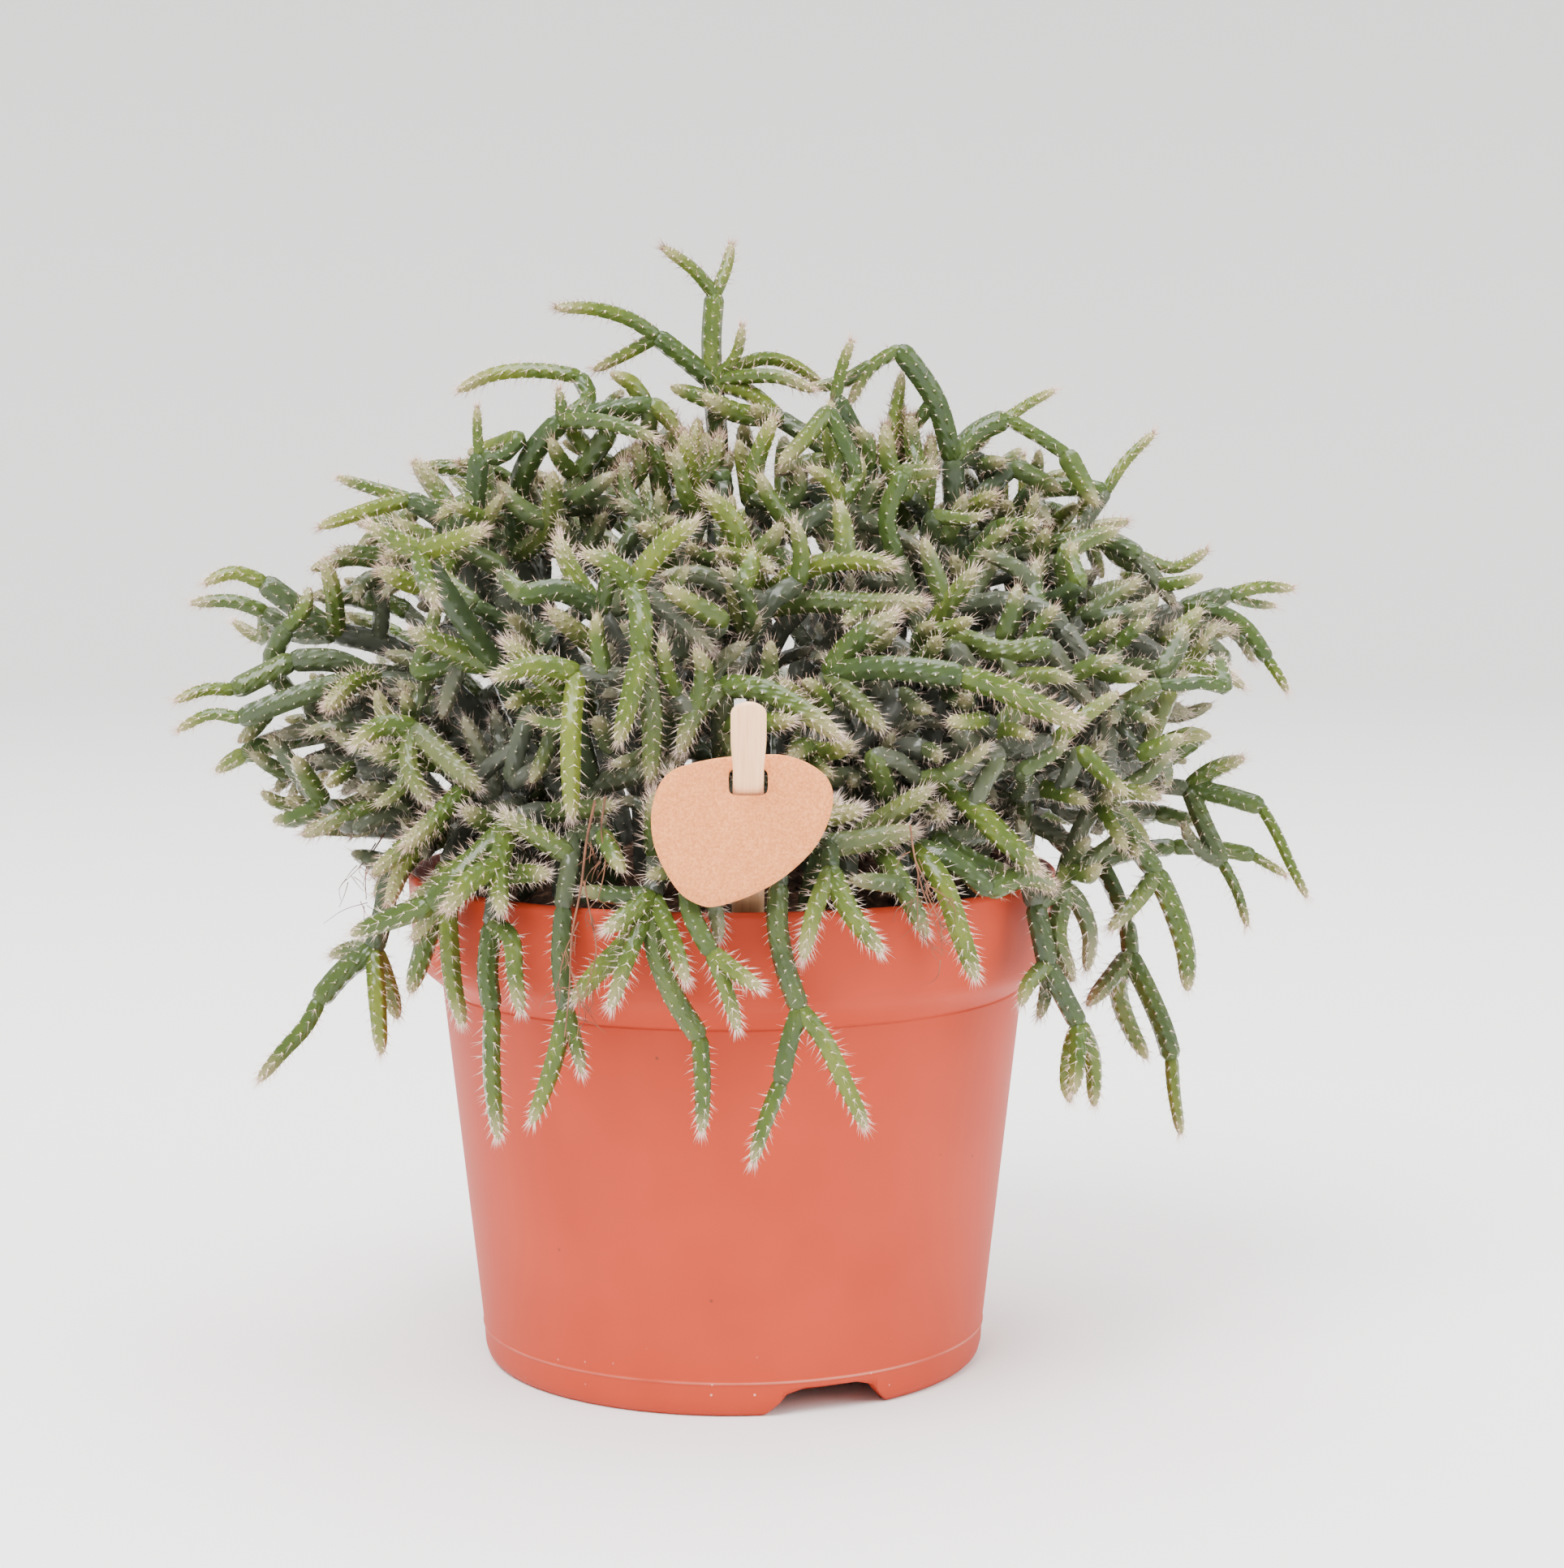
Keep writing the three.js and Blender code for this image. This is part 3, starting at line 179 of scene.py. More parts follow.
# %% [markdown]
# ## How the sprays grow
#
# The plant is laid out in the same way as its solids: a list of sprays that are given one by one, and sprays
# round the back that follow a rule with seeded draws. In the list a line of three words opens a spray and
# gives the place of its root. Each other line is a stem: its key, its parent, its width over the bristles,
# and the points it runs through as across, up and away from a viewer.

# %% The sprays that are listed one by one
SPRAYS = """
crown -2 4
a . 5.0 -2,112,3 -3,140,0 -2.5,160,-2
b a 4.4 -2.8,174,-3 -3.6,183,-3
c b 4.2 -3.8,191,-3 -3.2,199,-3
d c 3.0 -7,203.5,-5 -13,207.8,-7
e c 3.0 -1.2,203.5,-2 0,208.5,0
f b 4.2 -9,187.5,-5 -14,191.3,-7
g f 3.4 -19,194.5,-8 -25,196.3,-9 -33,196.6,-10
h f 3.0 -20,188,-4 -26,185,-2
i b 2.8 0.8,188,-5 2,193.5,-6
j b 3.2 6,187.3,0 11,186.2,3 17,182.3,4
k b 3.2 3,184,-6 9,183.8,-8 15.5,181.2,-8
l b 3.8 4,180.5,-5 8.5,176.5,-7
m l 3.9 14,173,-9 20.5,168.5,-10
arch 20 2
a . 5.2 24,112,0 26,140,-2 25,160,-4
b a 4.8 24,168,-4 18.5,180,-6
c b 3.0 20,186.5,-6 21.7,191,-6
d a 3.2 28.5,172,2 31,185,4
right_crown 38 4
a . 5.2 40,115,6 43,140,6 42,158,4 41,169,3
b a 4.8 37.5,180,0 31,189,-1
c b 3.0 26,186,-1 21.5,178.7,-2
d a 4.6 46,174,6 51,176.3,6
e d 2.7 55.5,179.3,7 60,181.6,8
f d 3.0 57,173,5 62.3,169.6,4
g a 4.2 46.5,168,9 48.6,163,11
right_upper 46 14
a . 5.0 50,110,14 53,135,16 51,152,14
b a 4.4 49.6,160,16 50.2,166.3,17
c a 2.8 54,160,19 54,168.3,20
d a 4.2 56,161.5,12 62,162.8,12 69.5,162,12
e d 2.7 73,167.5,13 78.6,173.2,14
f d 3.6 66.5,157.5,10 63.5,153,8
g a 3.8 58,153.5,20 66,154.3,22 74,156,24
h a 4.4 60,151.5,4 69,152.8,2 76,149.8,0
i h 3.6 80,144.5,-2 83,140.5,-3
j h 3.0 83,147.8,2 89,151.2,3
right_mid 42 -8
a . 5.2 47,108,-2 55,124,0 64,133.5,2
b a 5.0 70,135.5,4 77,137.8,6 84,140.7,8
c b 4.4 88,142,9 92.5,143.2,10
d c 3.2 98,144.7,11 105,144.5,12
e c 2.5 97,141.8,14 101.5,141.3,16
f b 3.4 90,140.2,4 95,137.5,3 100,131,2
g f 2.8 102.3,127.8,1 104,124.8,1
h b 2.9 90,138.5,11 95,135,12 97.3,130.8,12
i a 4.8 71,132,-2 78,131.8,-3 85,130.5,-4
j i 3.4 91,129.2,-5 96.3,126,-6
k a 4.5 63,142,-8 62,150.8,-11
cascade_right 33 -12
a . 5.2 36,112,-15 38,130,-18 42,141,-20
b a 5.0 50,142.3,-23 57,140.8,-25 61.5,137.5,-26
c b 4.7 66,131,-26 70.5,121.5,-25
d c 4.6 70.2,112,-25 68.7,104.5,-25
e d 5.0 64,105.3,-27 58,107,-30 53,106.2,-32
f d 4.8 74,106.7,-26 81,105.2,-27
g d 4.2 66,99,-28 63.8,92,-30 61.7,81.5,-31
h c 4.2 73.5,123,-27 80,126.8,-28
i c 5.0 75,121,-20 80,122.2,-18 86,121,-16
j c 2.6 73.5,118,-29 76.6,113.6,-31
l h 3.0 84,126.6,-28 88,127,-28 92,126,-27
m d 4.5 74.5,98,-24 80,91,-23
n m 4.5 83,84.5,-23 85.7,76,-23 86.2,68.3,-23
o m 4.2 75.5,84.7,-27 71,80,-29
p d 3.8 74,102,-19 78.7,96,-16
cascade_outer 50 12
a . 5.0 56,103,10 64,107.5,8 72,108,6
b a 3.8 79,107.7,4 86,107,3
c b 4.2 90,110.3,3 96.3,112.8,3
d b 4.4 92.5,105.7,1 99.5,103.6,0
e d 2.5 102.5,98.5,-1 105.3,92.5,-2 108.6,86.2,-3
f b 4.3 88.6,100.5,0 92.3,93,-2
g f 2.7 95.2,87.5,-3 97.3,80.7,-4
low_right 47 25
a . 4.6 54,100,25 62,95,22 69,92,16
c a 3.9 76,94.3,16 83,95.3,17
d c 3.8 90,95.3,18 98,94,19
e d 2.5 101.5,92,19 104.5,90.3,19
f a 3.8 72,86.5,12 74.2,81,9
g f 3.9 75,78,8 75,76,7
h g 4.4 71,71,4 67,66.3,3
i g 4.4 78.5,69,5 82,60.5,4 83.2,56,4
j i 3.0 83.7,50,3 85.2,41,2
k g 3.9 73,69,12 75.5,61.5,14 78.6,56,15
low_right_front 43 -25
a . 4.8 49,99,-30 54.5,93,-35 56.5,85,-37
b a 4.6 58,79,-38 59.3,73.5,-38
c b 4.2 55.5,69.5,-42 54.2,65.5,-43
d b 3.7 59,68,-36 57.8,63.2,-36
e b 4.4 62.5,67.5,-38 65.5,62,-38
f e 4.0 65.3,54.5,-41 64.6,48.5,-42
g e 3.7 63.8,57,-34 63.3,50,-33 64,47,-33
h e 4.1 68,56,-36 68.6,46.2,-36
i a 3.9 62,88,-31 66.5,80,-29 66,72.5,-29
arch_front 14 -24
a . 5.4 14,108,-30 15,120,-37 18,128.5,-42
b a 5.4 27,129.8,-47 36,129.3,-50 43,128.3,-51
c b 5.2 50,126,-51 57,122.8,-50 65.5,119.3,-47
d a 5.4 21,133,-42 25,136.5,-43 31,140.2,-43
e a 5.0 23,123.5,-47 28.3,117.5,-50
bright_mid 30 -2
a . 5.2 31,110,-6 34,126,-14 38,134.5,-22
b a 5.0 45,134.5,-30 52,132.3,-34 61,133.3,-36
c a 4.6 42,141,-26 47.5,148,-28
d a 4.4 35,142,-20 32,150,-20
e d 4.2 30,157,-20 33,165.5,-21
diagonal 33 -30
a . 5.2 36,103,-36 39,108,-42
b a 5.2 45,103,-47 51,97,-50 58,90.8,-51
c a 5.0 45,111.5,-40 52,114.2,-38 60,115,-36
front_right 30 -38
a . 4.8 34,97,-43 38,94.5,-51
b a 4.9 42.5,88,-56 45.5,79,-57 48.7,69.5,-57
c a 5.0 45,92,-53 51.5,86.5,-52
front_right_low 20 -44
a . 4.6 25,99,-49 29.5,98.5,-54
b a 4.7 33.5,92,-60 38.3,82,-62
front_mid 13 -47
a . 4.4 16.5,97,-54 17,92,-63
b a 4.4 13.5,83,-68 11,74,-69
c a 4.6 21,83.5,-66 27,76,-66
hang_mid 8 -38
a . 4.4 5.5,98,-47 5,94,-58 5.5,88,-65
b a 4.6 6.5,81,-67.5 9,74,-68 12.3,65,-68
c b 4.4 10.3,58,-69 9,51,-69
d c 3.6 6.3,44,-70 3.6,35.3,-71
e b 4.2 16.5,60,-69 21,51,-69 25.2,42,-68
hang_mid_left -4 -42
a . 4.2 -7,98,-51 -8,92.5,-61
b a 4.4 -8,85,-67 -4,76.5,-70
c b 4.4 1,72.5,-72 5.5,69.5,-74
d b 3.8 -1,68.5,-71 1,61.3,-71
e a 4.2 -3.5,86,-66 -2.5,79,-66
hang_left -14 -40
a . 4.6 -14,97.5,-49 -14.5,93.5,-58 -15,86,-64.5
b a 5.0 -19.5,83,-68 -24.5,79.3,-70
c a 4.3 -11,77,-70 -8.7,69.5,-73
d a 4.7 -14.5,76,-66 -11.5,68,-66.5 -6.3,59.5,-67
e d 3.8 -5.8,50,-68 -6,41,-68.5
f a 4.9 -20,77.5,-64 -25.5,72,-64 -30.5,66,-64
g a 4.0 -20.5,73,-69 -23.3,64.5,-70
hang_left_two -26 -36
a . 4.6 -31,98,-44 -33,93.5,-54 -34.5,84,-57.5
b a 4.4 -34.5,74,-58.5 -33,65,-59.5
c b 3.9 -35.5,54,-60 -39.6,42.8,-60
d b 3.5 -31,58,-61 -29.8,52.5,-62
hang_left_three -37 -27
a . 4.6 -42,99,-36 -44.5,93.5,-46 -45.5,83,-50
b a 4.5 -46.5,73,-51 -45.7,66.5,-51.5
c b 3.9 -45.8,53,-52 -44.7,41,-52
d a 4.2 -42,80,-56 -41.3,73,-58 -40.2,65.5,-58
hang_left_four -45 -16
a . 4.6 -49,99,-24 -53,92.5,-35
b a 4.3 -53,80,-42 -52.3,70,-43 -50.5,61.5,-44
c a 4.7 -56,82,-37 -58,75,-36 -60.3,68,-35
left_low -49 -6
a . 4.8 -55,99,-8 -62.5,92.5,-14 -64.5,84,-16 -66.5,76.5,-18
b a 4.8 -72,73,-19 -77.5,67,-20
c b 3.7 -80,62.5,-20 -85,57,-20 -89.6,51.5,-20
e a 3.9 -66,66,-23 -65.5,56.5,-23
f a 4.6 -63.5,70.5,-15 -60.2,63.5,-13
g a 4.2 -70,77,-12 -75,75.5,-9
left_front -30 -32
a . 5.2 -34,103,-42 -39,102.5,-47
b a 5.4 -44,97,-51 -50,91.5,-53 -55.5,86,-53
c b 4.9 -63,83.3,-51 -71,80.3,-48
d a 5.0 -41.5,93,-56 -41,84,-62
left_e -50 4
a . 5.0 -53,101,2 -57,103,-2
b a 4.9 -62,97,-8 -68.3,91,-10
c a 4.9 -65,105,-4 -72.5,102.5,-4 -80.2,98.8,-4
d a 3.8 -61,101,-16 -67,99.5,-20 -71.5,97.8,-21
e a 3.6 -62,93.5,2 -66.5,86,4
f a 4.7 -64,109.5,2 -70,108.3,4 -73.3,105.3,5
left_d -40 -10
a . 5.2 -46,104,-16 -54,112,-26 -59.5,118,-32
b a 5.2 -65,118.3,-34 -71,114,-35
c a 4.4 -60.5,111,-37 -56.5,103.5,-40
d a 5.4 -53,112,-38 -47,106.5,-42
left_c -46 14
a . 5.2 -56,106,12 -64,115,6 -70,119,2
b a 5.0 -78,117.7,0 -85,116.2,-2 -91.3,113.8,-3
c b 4.2 -94,112.3,-1 -96.8,110.5,0
d a 4.6 -74,113.8,-3 -80,111.5,-5
e d 3.6 -83,109.8,-6 -85.8,106.6,-6
f d 2.9 -81.5,108,-2 -83.3,105.3,-1
left_b -36 4
a . 5.4 -46,110,4 -56,121,0 -66,128,-4
b a 5.0 -74,131.5,-8 -82,131.5,-10
c b 4.6 -88,128.5,-11 -93,126,-12
d c 3.2 -98.5,126,-13 -104.3,123.8,-14
e a 4.8 -74,127,-13 -82,124.5,-15 -91.8,120.6,-16
f e 3.0 -97,121.5,-16 -103.8,118.4,-16
g a 4.6 -71,127,-16 -75.5,122.5,-26
left_a -32 18
a . 5.2 -42,112,16 -54,126,12 -66,134,8 -74,136,5
b a 5.0 -80,140.2,3 -87.3,145.7,2
c b 3.7 -93,147.6,1 -98.5,145.6,0
d a 4.2 -82,136.5,9 -87,140.3,10
e d 3.5 -93,142.3,10 -101,142,10
f d 3.5 -88,135.5,16 -93.2,138.6,18
g a 4.4 -74.5,144,0 -76,150.3,-1
left_y -22 -14
a . 5.2 -32,112,-22 -44,130,-32 -54,145,-40 -58,151.5,-42
b a 4.9 -52.5,153.3,-46 -45.7,155.8,-49
c a 4.8 -63,154,-43 -68.3,156.7,-44
d a 4.7 -57.3,147,-47 -55.3,141.8,-51
left_upper -27 2
a . 5.2 -36,115,0 -45,135,-5 -50,152,-10
b a 4.6 -54,158,-9 -60,161.5,-9
c b 3.4 -66.5,159.8,-12 -77,156.3,-13
d b 3.0 -66,163.3,-6 -73.3,165.5,-5
e a 4.8 -54,162.5,-2 -59,169,0
f a 4.7 -47.5,162,-12 -46.7,169.5,-13
g f 2.7 -47,174,-13 -47,178.6,-13
h f 3.2 -43,169,-11 -39,172.5,-10
j a 5.0 -58,146,-18 -66,148.7,-24
left_arch -15 10
a . 5.2 -24,115,9 -36,135,5 -42,150,0
b a 5.0 -41.5,162,-5 -38,170,-8 -32.5,176,-10
c b 3.2 -32.3,179,-10 -32.8,182,-10
d b 4.0 -24,178,-12 -15.5,179.2,-13
e b 3.7 -23,175.5,-16 -14.5,172.5,-18
f b 3.7 -27,180.5,-6 -28.5,184.3,-4
g f 3.5 -36,185.3,-3 -44,184.6,-2 -51,181.5,-1
h a 5.0 -36,156,-12 -35.3,165.5,-18
mid_left -16 -22
a . 5.4 -18,112,-30 -20,128,-38 -25,139,-42
b a 5.0 -32,143.6,-45 -39.7,142.6,-47
c a 4.8 -30,147,-40 -33,154,-38
mid_left_low -22 -28
a . 5.2 -24,110,-40 -26,124,-50 -26.5,130,-54
b a 5.0 -34,131.5,-56 -42.8,129,-57
c a 4.5 -27.8,120,-60 -28,102.3,-60
center_front -9 -26
a . 5.4 -11,112,-36 -15,130,-44 -18.5,145,-50
b a 5.2 -17,140,-56 -16.8,133,-58
c b 4.8 -19,124,-60 -21.4,115.3,-61
e a 5.0 -22.5,149.5,-52 -28,151.3,-53
f a 5.0 -12.5,152.8,-52 -6,157.5,-53
g a 4.7 -12,141,-50 -3,133,-50
h b 4.8 -15,122,-56 -15.3,108,-57
center_back 5 -10
a . 5.6 5,112,-14 5,128,-20 5,141,-24
b a 5.8 2.5,150,-26 -0.5,157.5,-27 -5.5,163,-27
c a 5.0 15,142.3,-30 25,141.8,-32 36.5,142,-33
d a 4.7 3,135,-34 0,127.5,-38
e a 4.8 12,147.5,-28 21,150,-30 31,148.8,-32
center_top 14 -5
a . 5.4 14,112,-5 16,132,-7 22,146,-10
b a 5.0 18,154.8,-15 10,159.3,-17 3.7,162.5,-18
c b 4.3 4.5,168,-19 8,176.8,-20
d a 4.6 22,156,-8 15,163,-6
center_low -3 -30
a . 5.2 -2,110,-40 -3,120,-48 -3,127,-52
b a 5.1 4,126.3,-55 12,122,-58 19.3,116.8,-61
c a 4.8 -8,122,-54 -11,114,-56
"""

# %% Sizes that the sprays share with the pot
RIM_RADIUS, POT_HEIGHT = 60.8, 92.5
SOIL = {"edge": 57.2, "edge_z": 88, "rise": 9, "swell": 0.5, "rates": (0.31, 0.27), "shifts": (1.3, 0.4)}
MOUND = {"x": 49, "y": 4, "height": 8, "spread": 9}
ROOTS = {"apart": 7, "within": 51, "depth": 8, "stub": 1.5, "rounds": 60, "step": 0.4, "stick_y": -48}
SLOT = {"x": 2.6, "y": -71, "z": 116.1}  # the middle of the card's slot, where the stick passes through it
CARD_BOX = {"left": -13.6, "right": 16.7, "low": 95.2, "high": 120.7, "half": 0.5}
STICK = {"width": 5.7, "thickness": 1.2, "lean": math.radians(38), "above": 18, "below": 42}
SIGHT = {"distance": 621, "height": 176}
BARE = 0.86  # the width of a bare stem as a share of its width over the bristles


def soil_height(x, y):
    """Height of the soil: a dome, a mound at the right, and gentle swells."""
    dome = SOIL["rise"] * (1 - (x * x + y * y) / SOIL["edge"] ** 2)
    off = (x - MOUND["x"]) ** 2 + (y - MOUND["y"]) ** 2
    mound = MOUND["height"] * np.exp(-off / (2 * MOUND["spread"] ** 2))
    one, other = (np.sin(rate * along + shift)
                  for rate, along, shift in zip(SOIL["rates"], (x, y), SOIL["shifts"]))
    return SOIL["edge_z"] + dome + mound + SOIL["swell"] * one * other
# %% A skeleton of points and stems
points, fixed, stems, sprays = [], [], [], []


def add_point(point, is_fixed=False):
    """Keeps a point and gives its number."""
    points.append([float(value) for value in point])
    fixed.append(is_fixed)
    return len(points) - 1


def add_stem(spray, start, places, width, parent):
    """Keeps a stem that runs from points already there through new ones, and gives its number."""
    along = list(start) + [add_point(place) for place in places]
    stems.append({"spray": spray, "along": along, "radius": width / 2, "parent": parent})
    return len(stems) - 1


def add_root(name, x, y):
    """Opens a spray with the two points of its foot."""
    foot = [add_point((x, y, soil_height(x, y)), True) for _ in range(2)]
    sprays.append({"name": name, "x": x, "y": y, "foot": foot})
    return foot


def seeded(seed):
    """Draws between a least and a most: each state is 16807 times the last one, modulo 2^31 - 1."""
    state = seed

    def draw(least, most):
        nonlocal state
        state = state * 16807 % 2147483647
        return least + (most - least) * state / 2147483647

    return draw


def onward(start, azimuth, elevation, length):
    """A point away from another by an azimuth and an elevation in degrees, and a length."""
    azimuth, elevation = math.radians(azimuth), math.radians(elevation)
    level = length * math.cos(elevation)
    return (start[0] + level * math.cos(azimuth), start[1] + level * math.sin(azimuth),
            start[2] + length * math.sin(elevation))


# %% Sprays from the list
def reach(away):
    """How many times further out a point lies than it seems to, where it is that far away."""
    return (SIGHT["distance"] + away) / SIGHT["distance"]


def seen(words):
    """Points from words of across, up and away, where across and up are as they seem from the front."""
    across, up, away = np.array([[float(number) for number in word.split(",")] for word in words]).T
    return np.stack([across * reach(away), away, SIGHT["height"] + (up - SIGHT["height"]) * reach(away)], -1)


def add_sprays_by_hand(text):
    """Reads the list: a line of three words opens a spray, and every other line adds a stem to it."""
    keys, foot = {}, []
    for line in text.strip().splitlines():
        words = line.split()
        if len(words) == 3 and "," not in words[2]:
            foot, keys = add_root(words[0], float(words[1]), float(words[2])), {}
            continue
        key, parent_key, width, *places = words
        path = seen(places)
        width = float(width) * BARE * reach(path[-1, 1])
        parent = None if parent_key == "." else keys[parent_key]
        start = foot if parent is None else stems[parent]["along"][-1:]
        keys[key] = add_stem(len(sprays) - 1, start, path, width, parent)
# %% Sprays by rule, round the back
FILL = {
    "count": 10, "first": -1, "span": 184, "wander": 6, "trunk_width": 4.6, "trunk_bow": 16, "bow": (7, -9),
    "limb_turns": (-52, 0, 52), "limb_wander": 12, "limb_length": (20, 27), "limb_width": 4.2, "rise": 10,
    "twig_turns": ((-0.6, 0.9), (-0.8, 0.5), (-0.6, 0.9)), "twig_turn": (26, 48), "twig_drop": (-46, 6),
    "twig_length": (15, 23), "twig_width": (2.8, 4.0), "seed": 20241,
}
OUTER = {"root": (33, 38), "lean": (32, 44), "trunk": (29, 36), "limb_lean": (-12, 34), "droop": 16}
INNER = {"root": (16, 24), "lean": (56, 72), "trunk": (42, 52), "limb_lean": (8, 48), "droop": 0}
SIDE = {"turn": 100, "elevation": (-5, 50), "length": (14, 21), "width": (3.7, 4.3), "within": 62,
        "seed": 7351}


def add_bowed(spray, parent, azimuth, elevation, length, width):
    """A stem in two spans, the second less steep than the first."""
    start = stems[parent]["along"][-1:]
    middle = onward(points[start[0]], azimuth, elevation + FILL["bow"][0], length / 2)
    end = onward(middle, azimuth, elevation + FILL["bow"][1], length / 2)
    return add_stem(spray, start, (middle, end), width, parent)


def add_sprays_by_rule():
    """Each spray has a trunk, a limb for each of its turns, and twigs at the end of each limb."""
    draw = seeded(FILL["seed"])
    for index in range(FILL["count"]):
        kind = OUTER if index % 2 == 0 else INNER
        azimuth = FILL["first"] + FILL["span"] * (index + 0.5) / FILL["count"]
        azimuth += draw(-FILL["wander"], FILL["wander"])
        x, y, _ = onward((0, 0, 0), azimuth, 0, draw(*kind["root"]))
        foot = add_root(f"back_{index + 1}", x, y)
        spray = len(sprays) - 1
        lean, length = draw(*kind["lean"]), draw(*kind["trunk"])
        middle = onward(points[foot[1]], azimuth, lean + FILL["trunk_bow"], length / 2)
        end = onward(middle, azimuth, lean, length / 2)
        trunk = add_stem(spray, foot, (middle, end), FILL["trunk_width"], None)
        for turn, twig_turns in zip(FILL["limb_turns"], FILL["twig_turns"]):
            limb_azimuth = azimuth + turn + draw(-FILL["limb_wander"], FILL["limb_wander"])
            limb_lean = draw(*kind["limb_lean"]) + (FILL["rise"] if turn == 0 else 0)
            limb_length = draw(*FILL["limb_length"])
            limb = add_bowed(spray, trunk, limb_azimuth, limb_lean, limb_length, FILL["limb_width"])
            for side in twig_turns:
                twig_azimuth = limb_azimuth + side * draw(*FILL["twig_turn"])
                twig_lean = limb_lean + draw(*FILL["twig_drop"]) - kind["droop"]
                twig_length, twig_width = draw(*FILL["twig_length"]), draw(*FILL["twig_width"])
                add_bowed(spray, limb, twig_azimuth, twig_lean, twig_length, twig_width)


def add_side_stems():
    """Short stems that stand off the trunks, outwards and upwards."""
    draw = seeded(SIDE["seed"])
    trunks = [(index, stem) for index, stem in enumerate(stems) if stem["parent"] is None]
    for parent, trunk in trunks:
        for index in trunk["along"][2:-1]:
            x, y, _ = points[index]
            azimuth = math.degrees(math.atan2(y, x)) + draw(-SIDE["turn"], SIDE["turn"])
            elevation, length = draw(*SIDE["elevation"]), draw(*SIDE["length"])
            end, width = onward(points[index], azimuth, elevation, length), draw(*SIDE["width"])
            if math.hypot(x, y) < SIDE["within"]:
                add_stem(trunk["spray"], [index], [end], width, parent)


def space_roots():
    """Moves roots apart in small steps, keeps them within a circle, and sets the feet in the soil there."""
    place = np.array([[spray["x"], spray["y"]] for spray in sprays])
    stick = np.array([[SLOT["x"], ROOTS["stick_y"]]])
    for _ in range(ROOTS["rounds"]):
        off = place[:, None] - np.vstack([place, stick])[None]
        distance = np.linalg.norm(off, axis=2)
        np.fill_diagonal(distance, ROOTS["apart"])
        lack = np.maximum(0, ROOTS["apart"] - distance)
        place = place + (ROOTS["step"] * (lack / distance)[..., None] * off).sum(1)
        place *= np.minimum(1, ROOTS["within"] / np.linalg.norm(place, axis=1))[:, None]
    for spray, (x, y) in zip(sprays, place):
        z = soil_height(x, y)
        points[spray["foot"][0]] = [x, y, z - ROOTS["depth"]]
        points[spray["foot"][1]] = [x, y, z + ROOTS["stub"]]


add_sprays_by_hand(SPRAYS)
add_sprays_by_rule()
add_side_stems()
space_roots()
print(len(sprays), "sprays with", len(stems), "stems")

# %% [markdown]
# ## Bending the stems clear of each other
#
# Stems that were only drawn from the front cross each other in depth. On the real plant they push each other
# aside. The same is done here in small rounds: each pair of spans that is too close is moved apart along the
# line between its nearest points, and neighbours take on a part of each move, so that a stem bends and
# doesn't kink.

# %% Bending clear
CLEAR = {"gap": 0.75, "soil": 0.9, "own": 0.85, "rounds": 220, "settle": 60, "step": 1.2, "spread": 0.12,
         "stem": 0.45, "holder": 0.3, "stick": 0.9}
RIM_INSIDE = RIM_RADIUS - 9  # from here outwards a stem has to stay above the rim


def nearest(p1, q1, p2, q2):
    """Shares of the way along two straight spans at which they are nearest, for arrays of spans."""
    d1, d2, r = q1 - p1, q2 - p2, p1 - p2
    a, e, f = (d1 * d1).sum(-1), (d2 * d2).sum(-1), (d2 * r).sum(-1)
    c, b = (d1 * r).sum(-1), (d1 * d2).sum(-1)
    across = a * e - b * b
    s = np.where(across > 1e-9, np.clip((b * f - c * e) / np.where(across > 1e-9, across, 1), 0, 1), 0.5)
    t = np.clip((b * s + f) / e, 0, 1)
    return np.clip((b * t - c) / a, 0, 1), t


def push_from_holder(place, radius):
    """Pushes away from the pot's rim, the soil and the card, for arrays of points and radii."""
    x, y, z = place.T
    room = radius + CLEAR["gap"]
    around = np.hypot(x, y)
    push = np.zeros_like(place)
    rim_top = POT_HEIGHT + room
    at_rim = (z < rim_top) & (around > RIM_INSIDE) & (around < RIM_RADIUS + room)
    out, up = RIM_RADIUS + room - around, rim_top - z
    upward = at_rim & (up < out)
    outward = at_rim & ~upward
    push[upward, 2] += up[upward]
    push[outward, :2] += (out[outward] / around[outward])[:, None] * place[outward, :2]
    inside = ~at_rim & (around <= RIM_INSIDE)
    push[inside, 2] += np.maximum(0, soil_height(x, y) + room + CLEAR["soil"] - z)[inside]
    beside = (x > CARD_BOX["left"] - room) & (x < CARD_BOX["right"] + room)
    beside &= (z > CARD_BOX["low"] - room) & (z < CARD_BOX["high"] + room)
    depth, thick = y - SLOT["y"], CARD_BOX["half"] + room
    beside &= np.abs(depth) < thick
    push[beside, 1] += np.where(depth >= 0, thick - depth, -thick - depth)[beside]
    return push


def stick_ends():
    """The foot and the top of the stick."""
    far = np.array([-STICK["below"], STICK["above"]])
    y, z = SLOT["y"] - far * math.sin(STICK["lean"]), SLOT["z"] + far * math.cos(STICK["lean"])
    return np.stack([np.full(2, SLOT["x"]), y, z], -1)


def list_spans():
    """The ends of each span as point numbers, with its radius, its spray and its stem."""
    rows = [(a, b, stem["radius"], stem["spray"], index)
            for index, stem in enumerate(stems) for a, b in zip(stem["along"], stem["along"][1:])]
    a, b, radius, spray, index = zip(*rows)
    return np.array(a), np.array(b), np.array(radius), np.array(spray), np.array(index)


def give(push, a, b, t, vector, share):
    """Adds a share of a move to the ends a and b of spans, more to the end that the point at t is near."""
    hold = (1 - t) ** 2 + t ** 2
    np.add.at(push, a, vector * (share * (1 - t) / hold)[:, None])
    np.add.at(push, b, vector * (share * t / hold)[:, None])


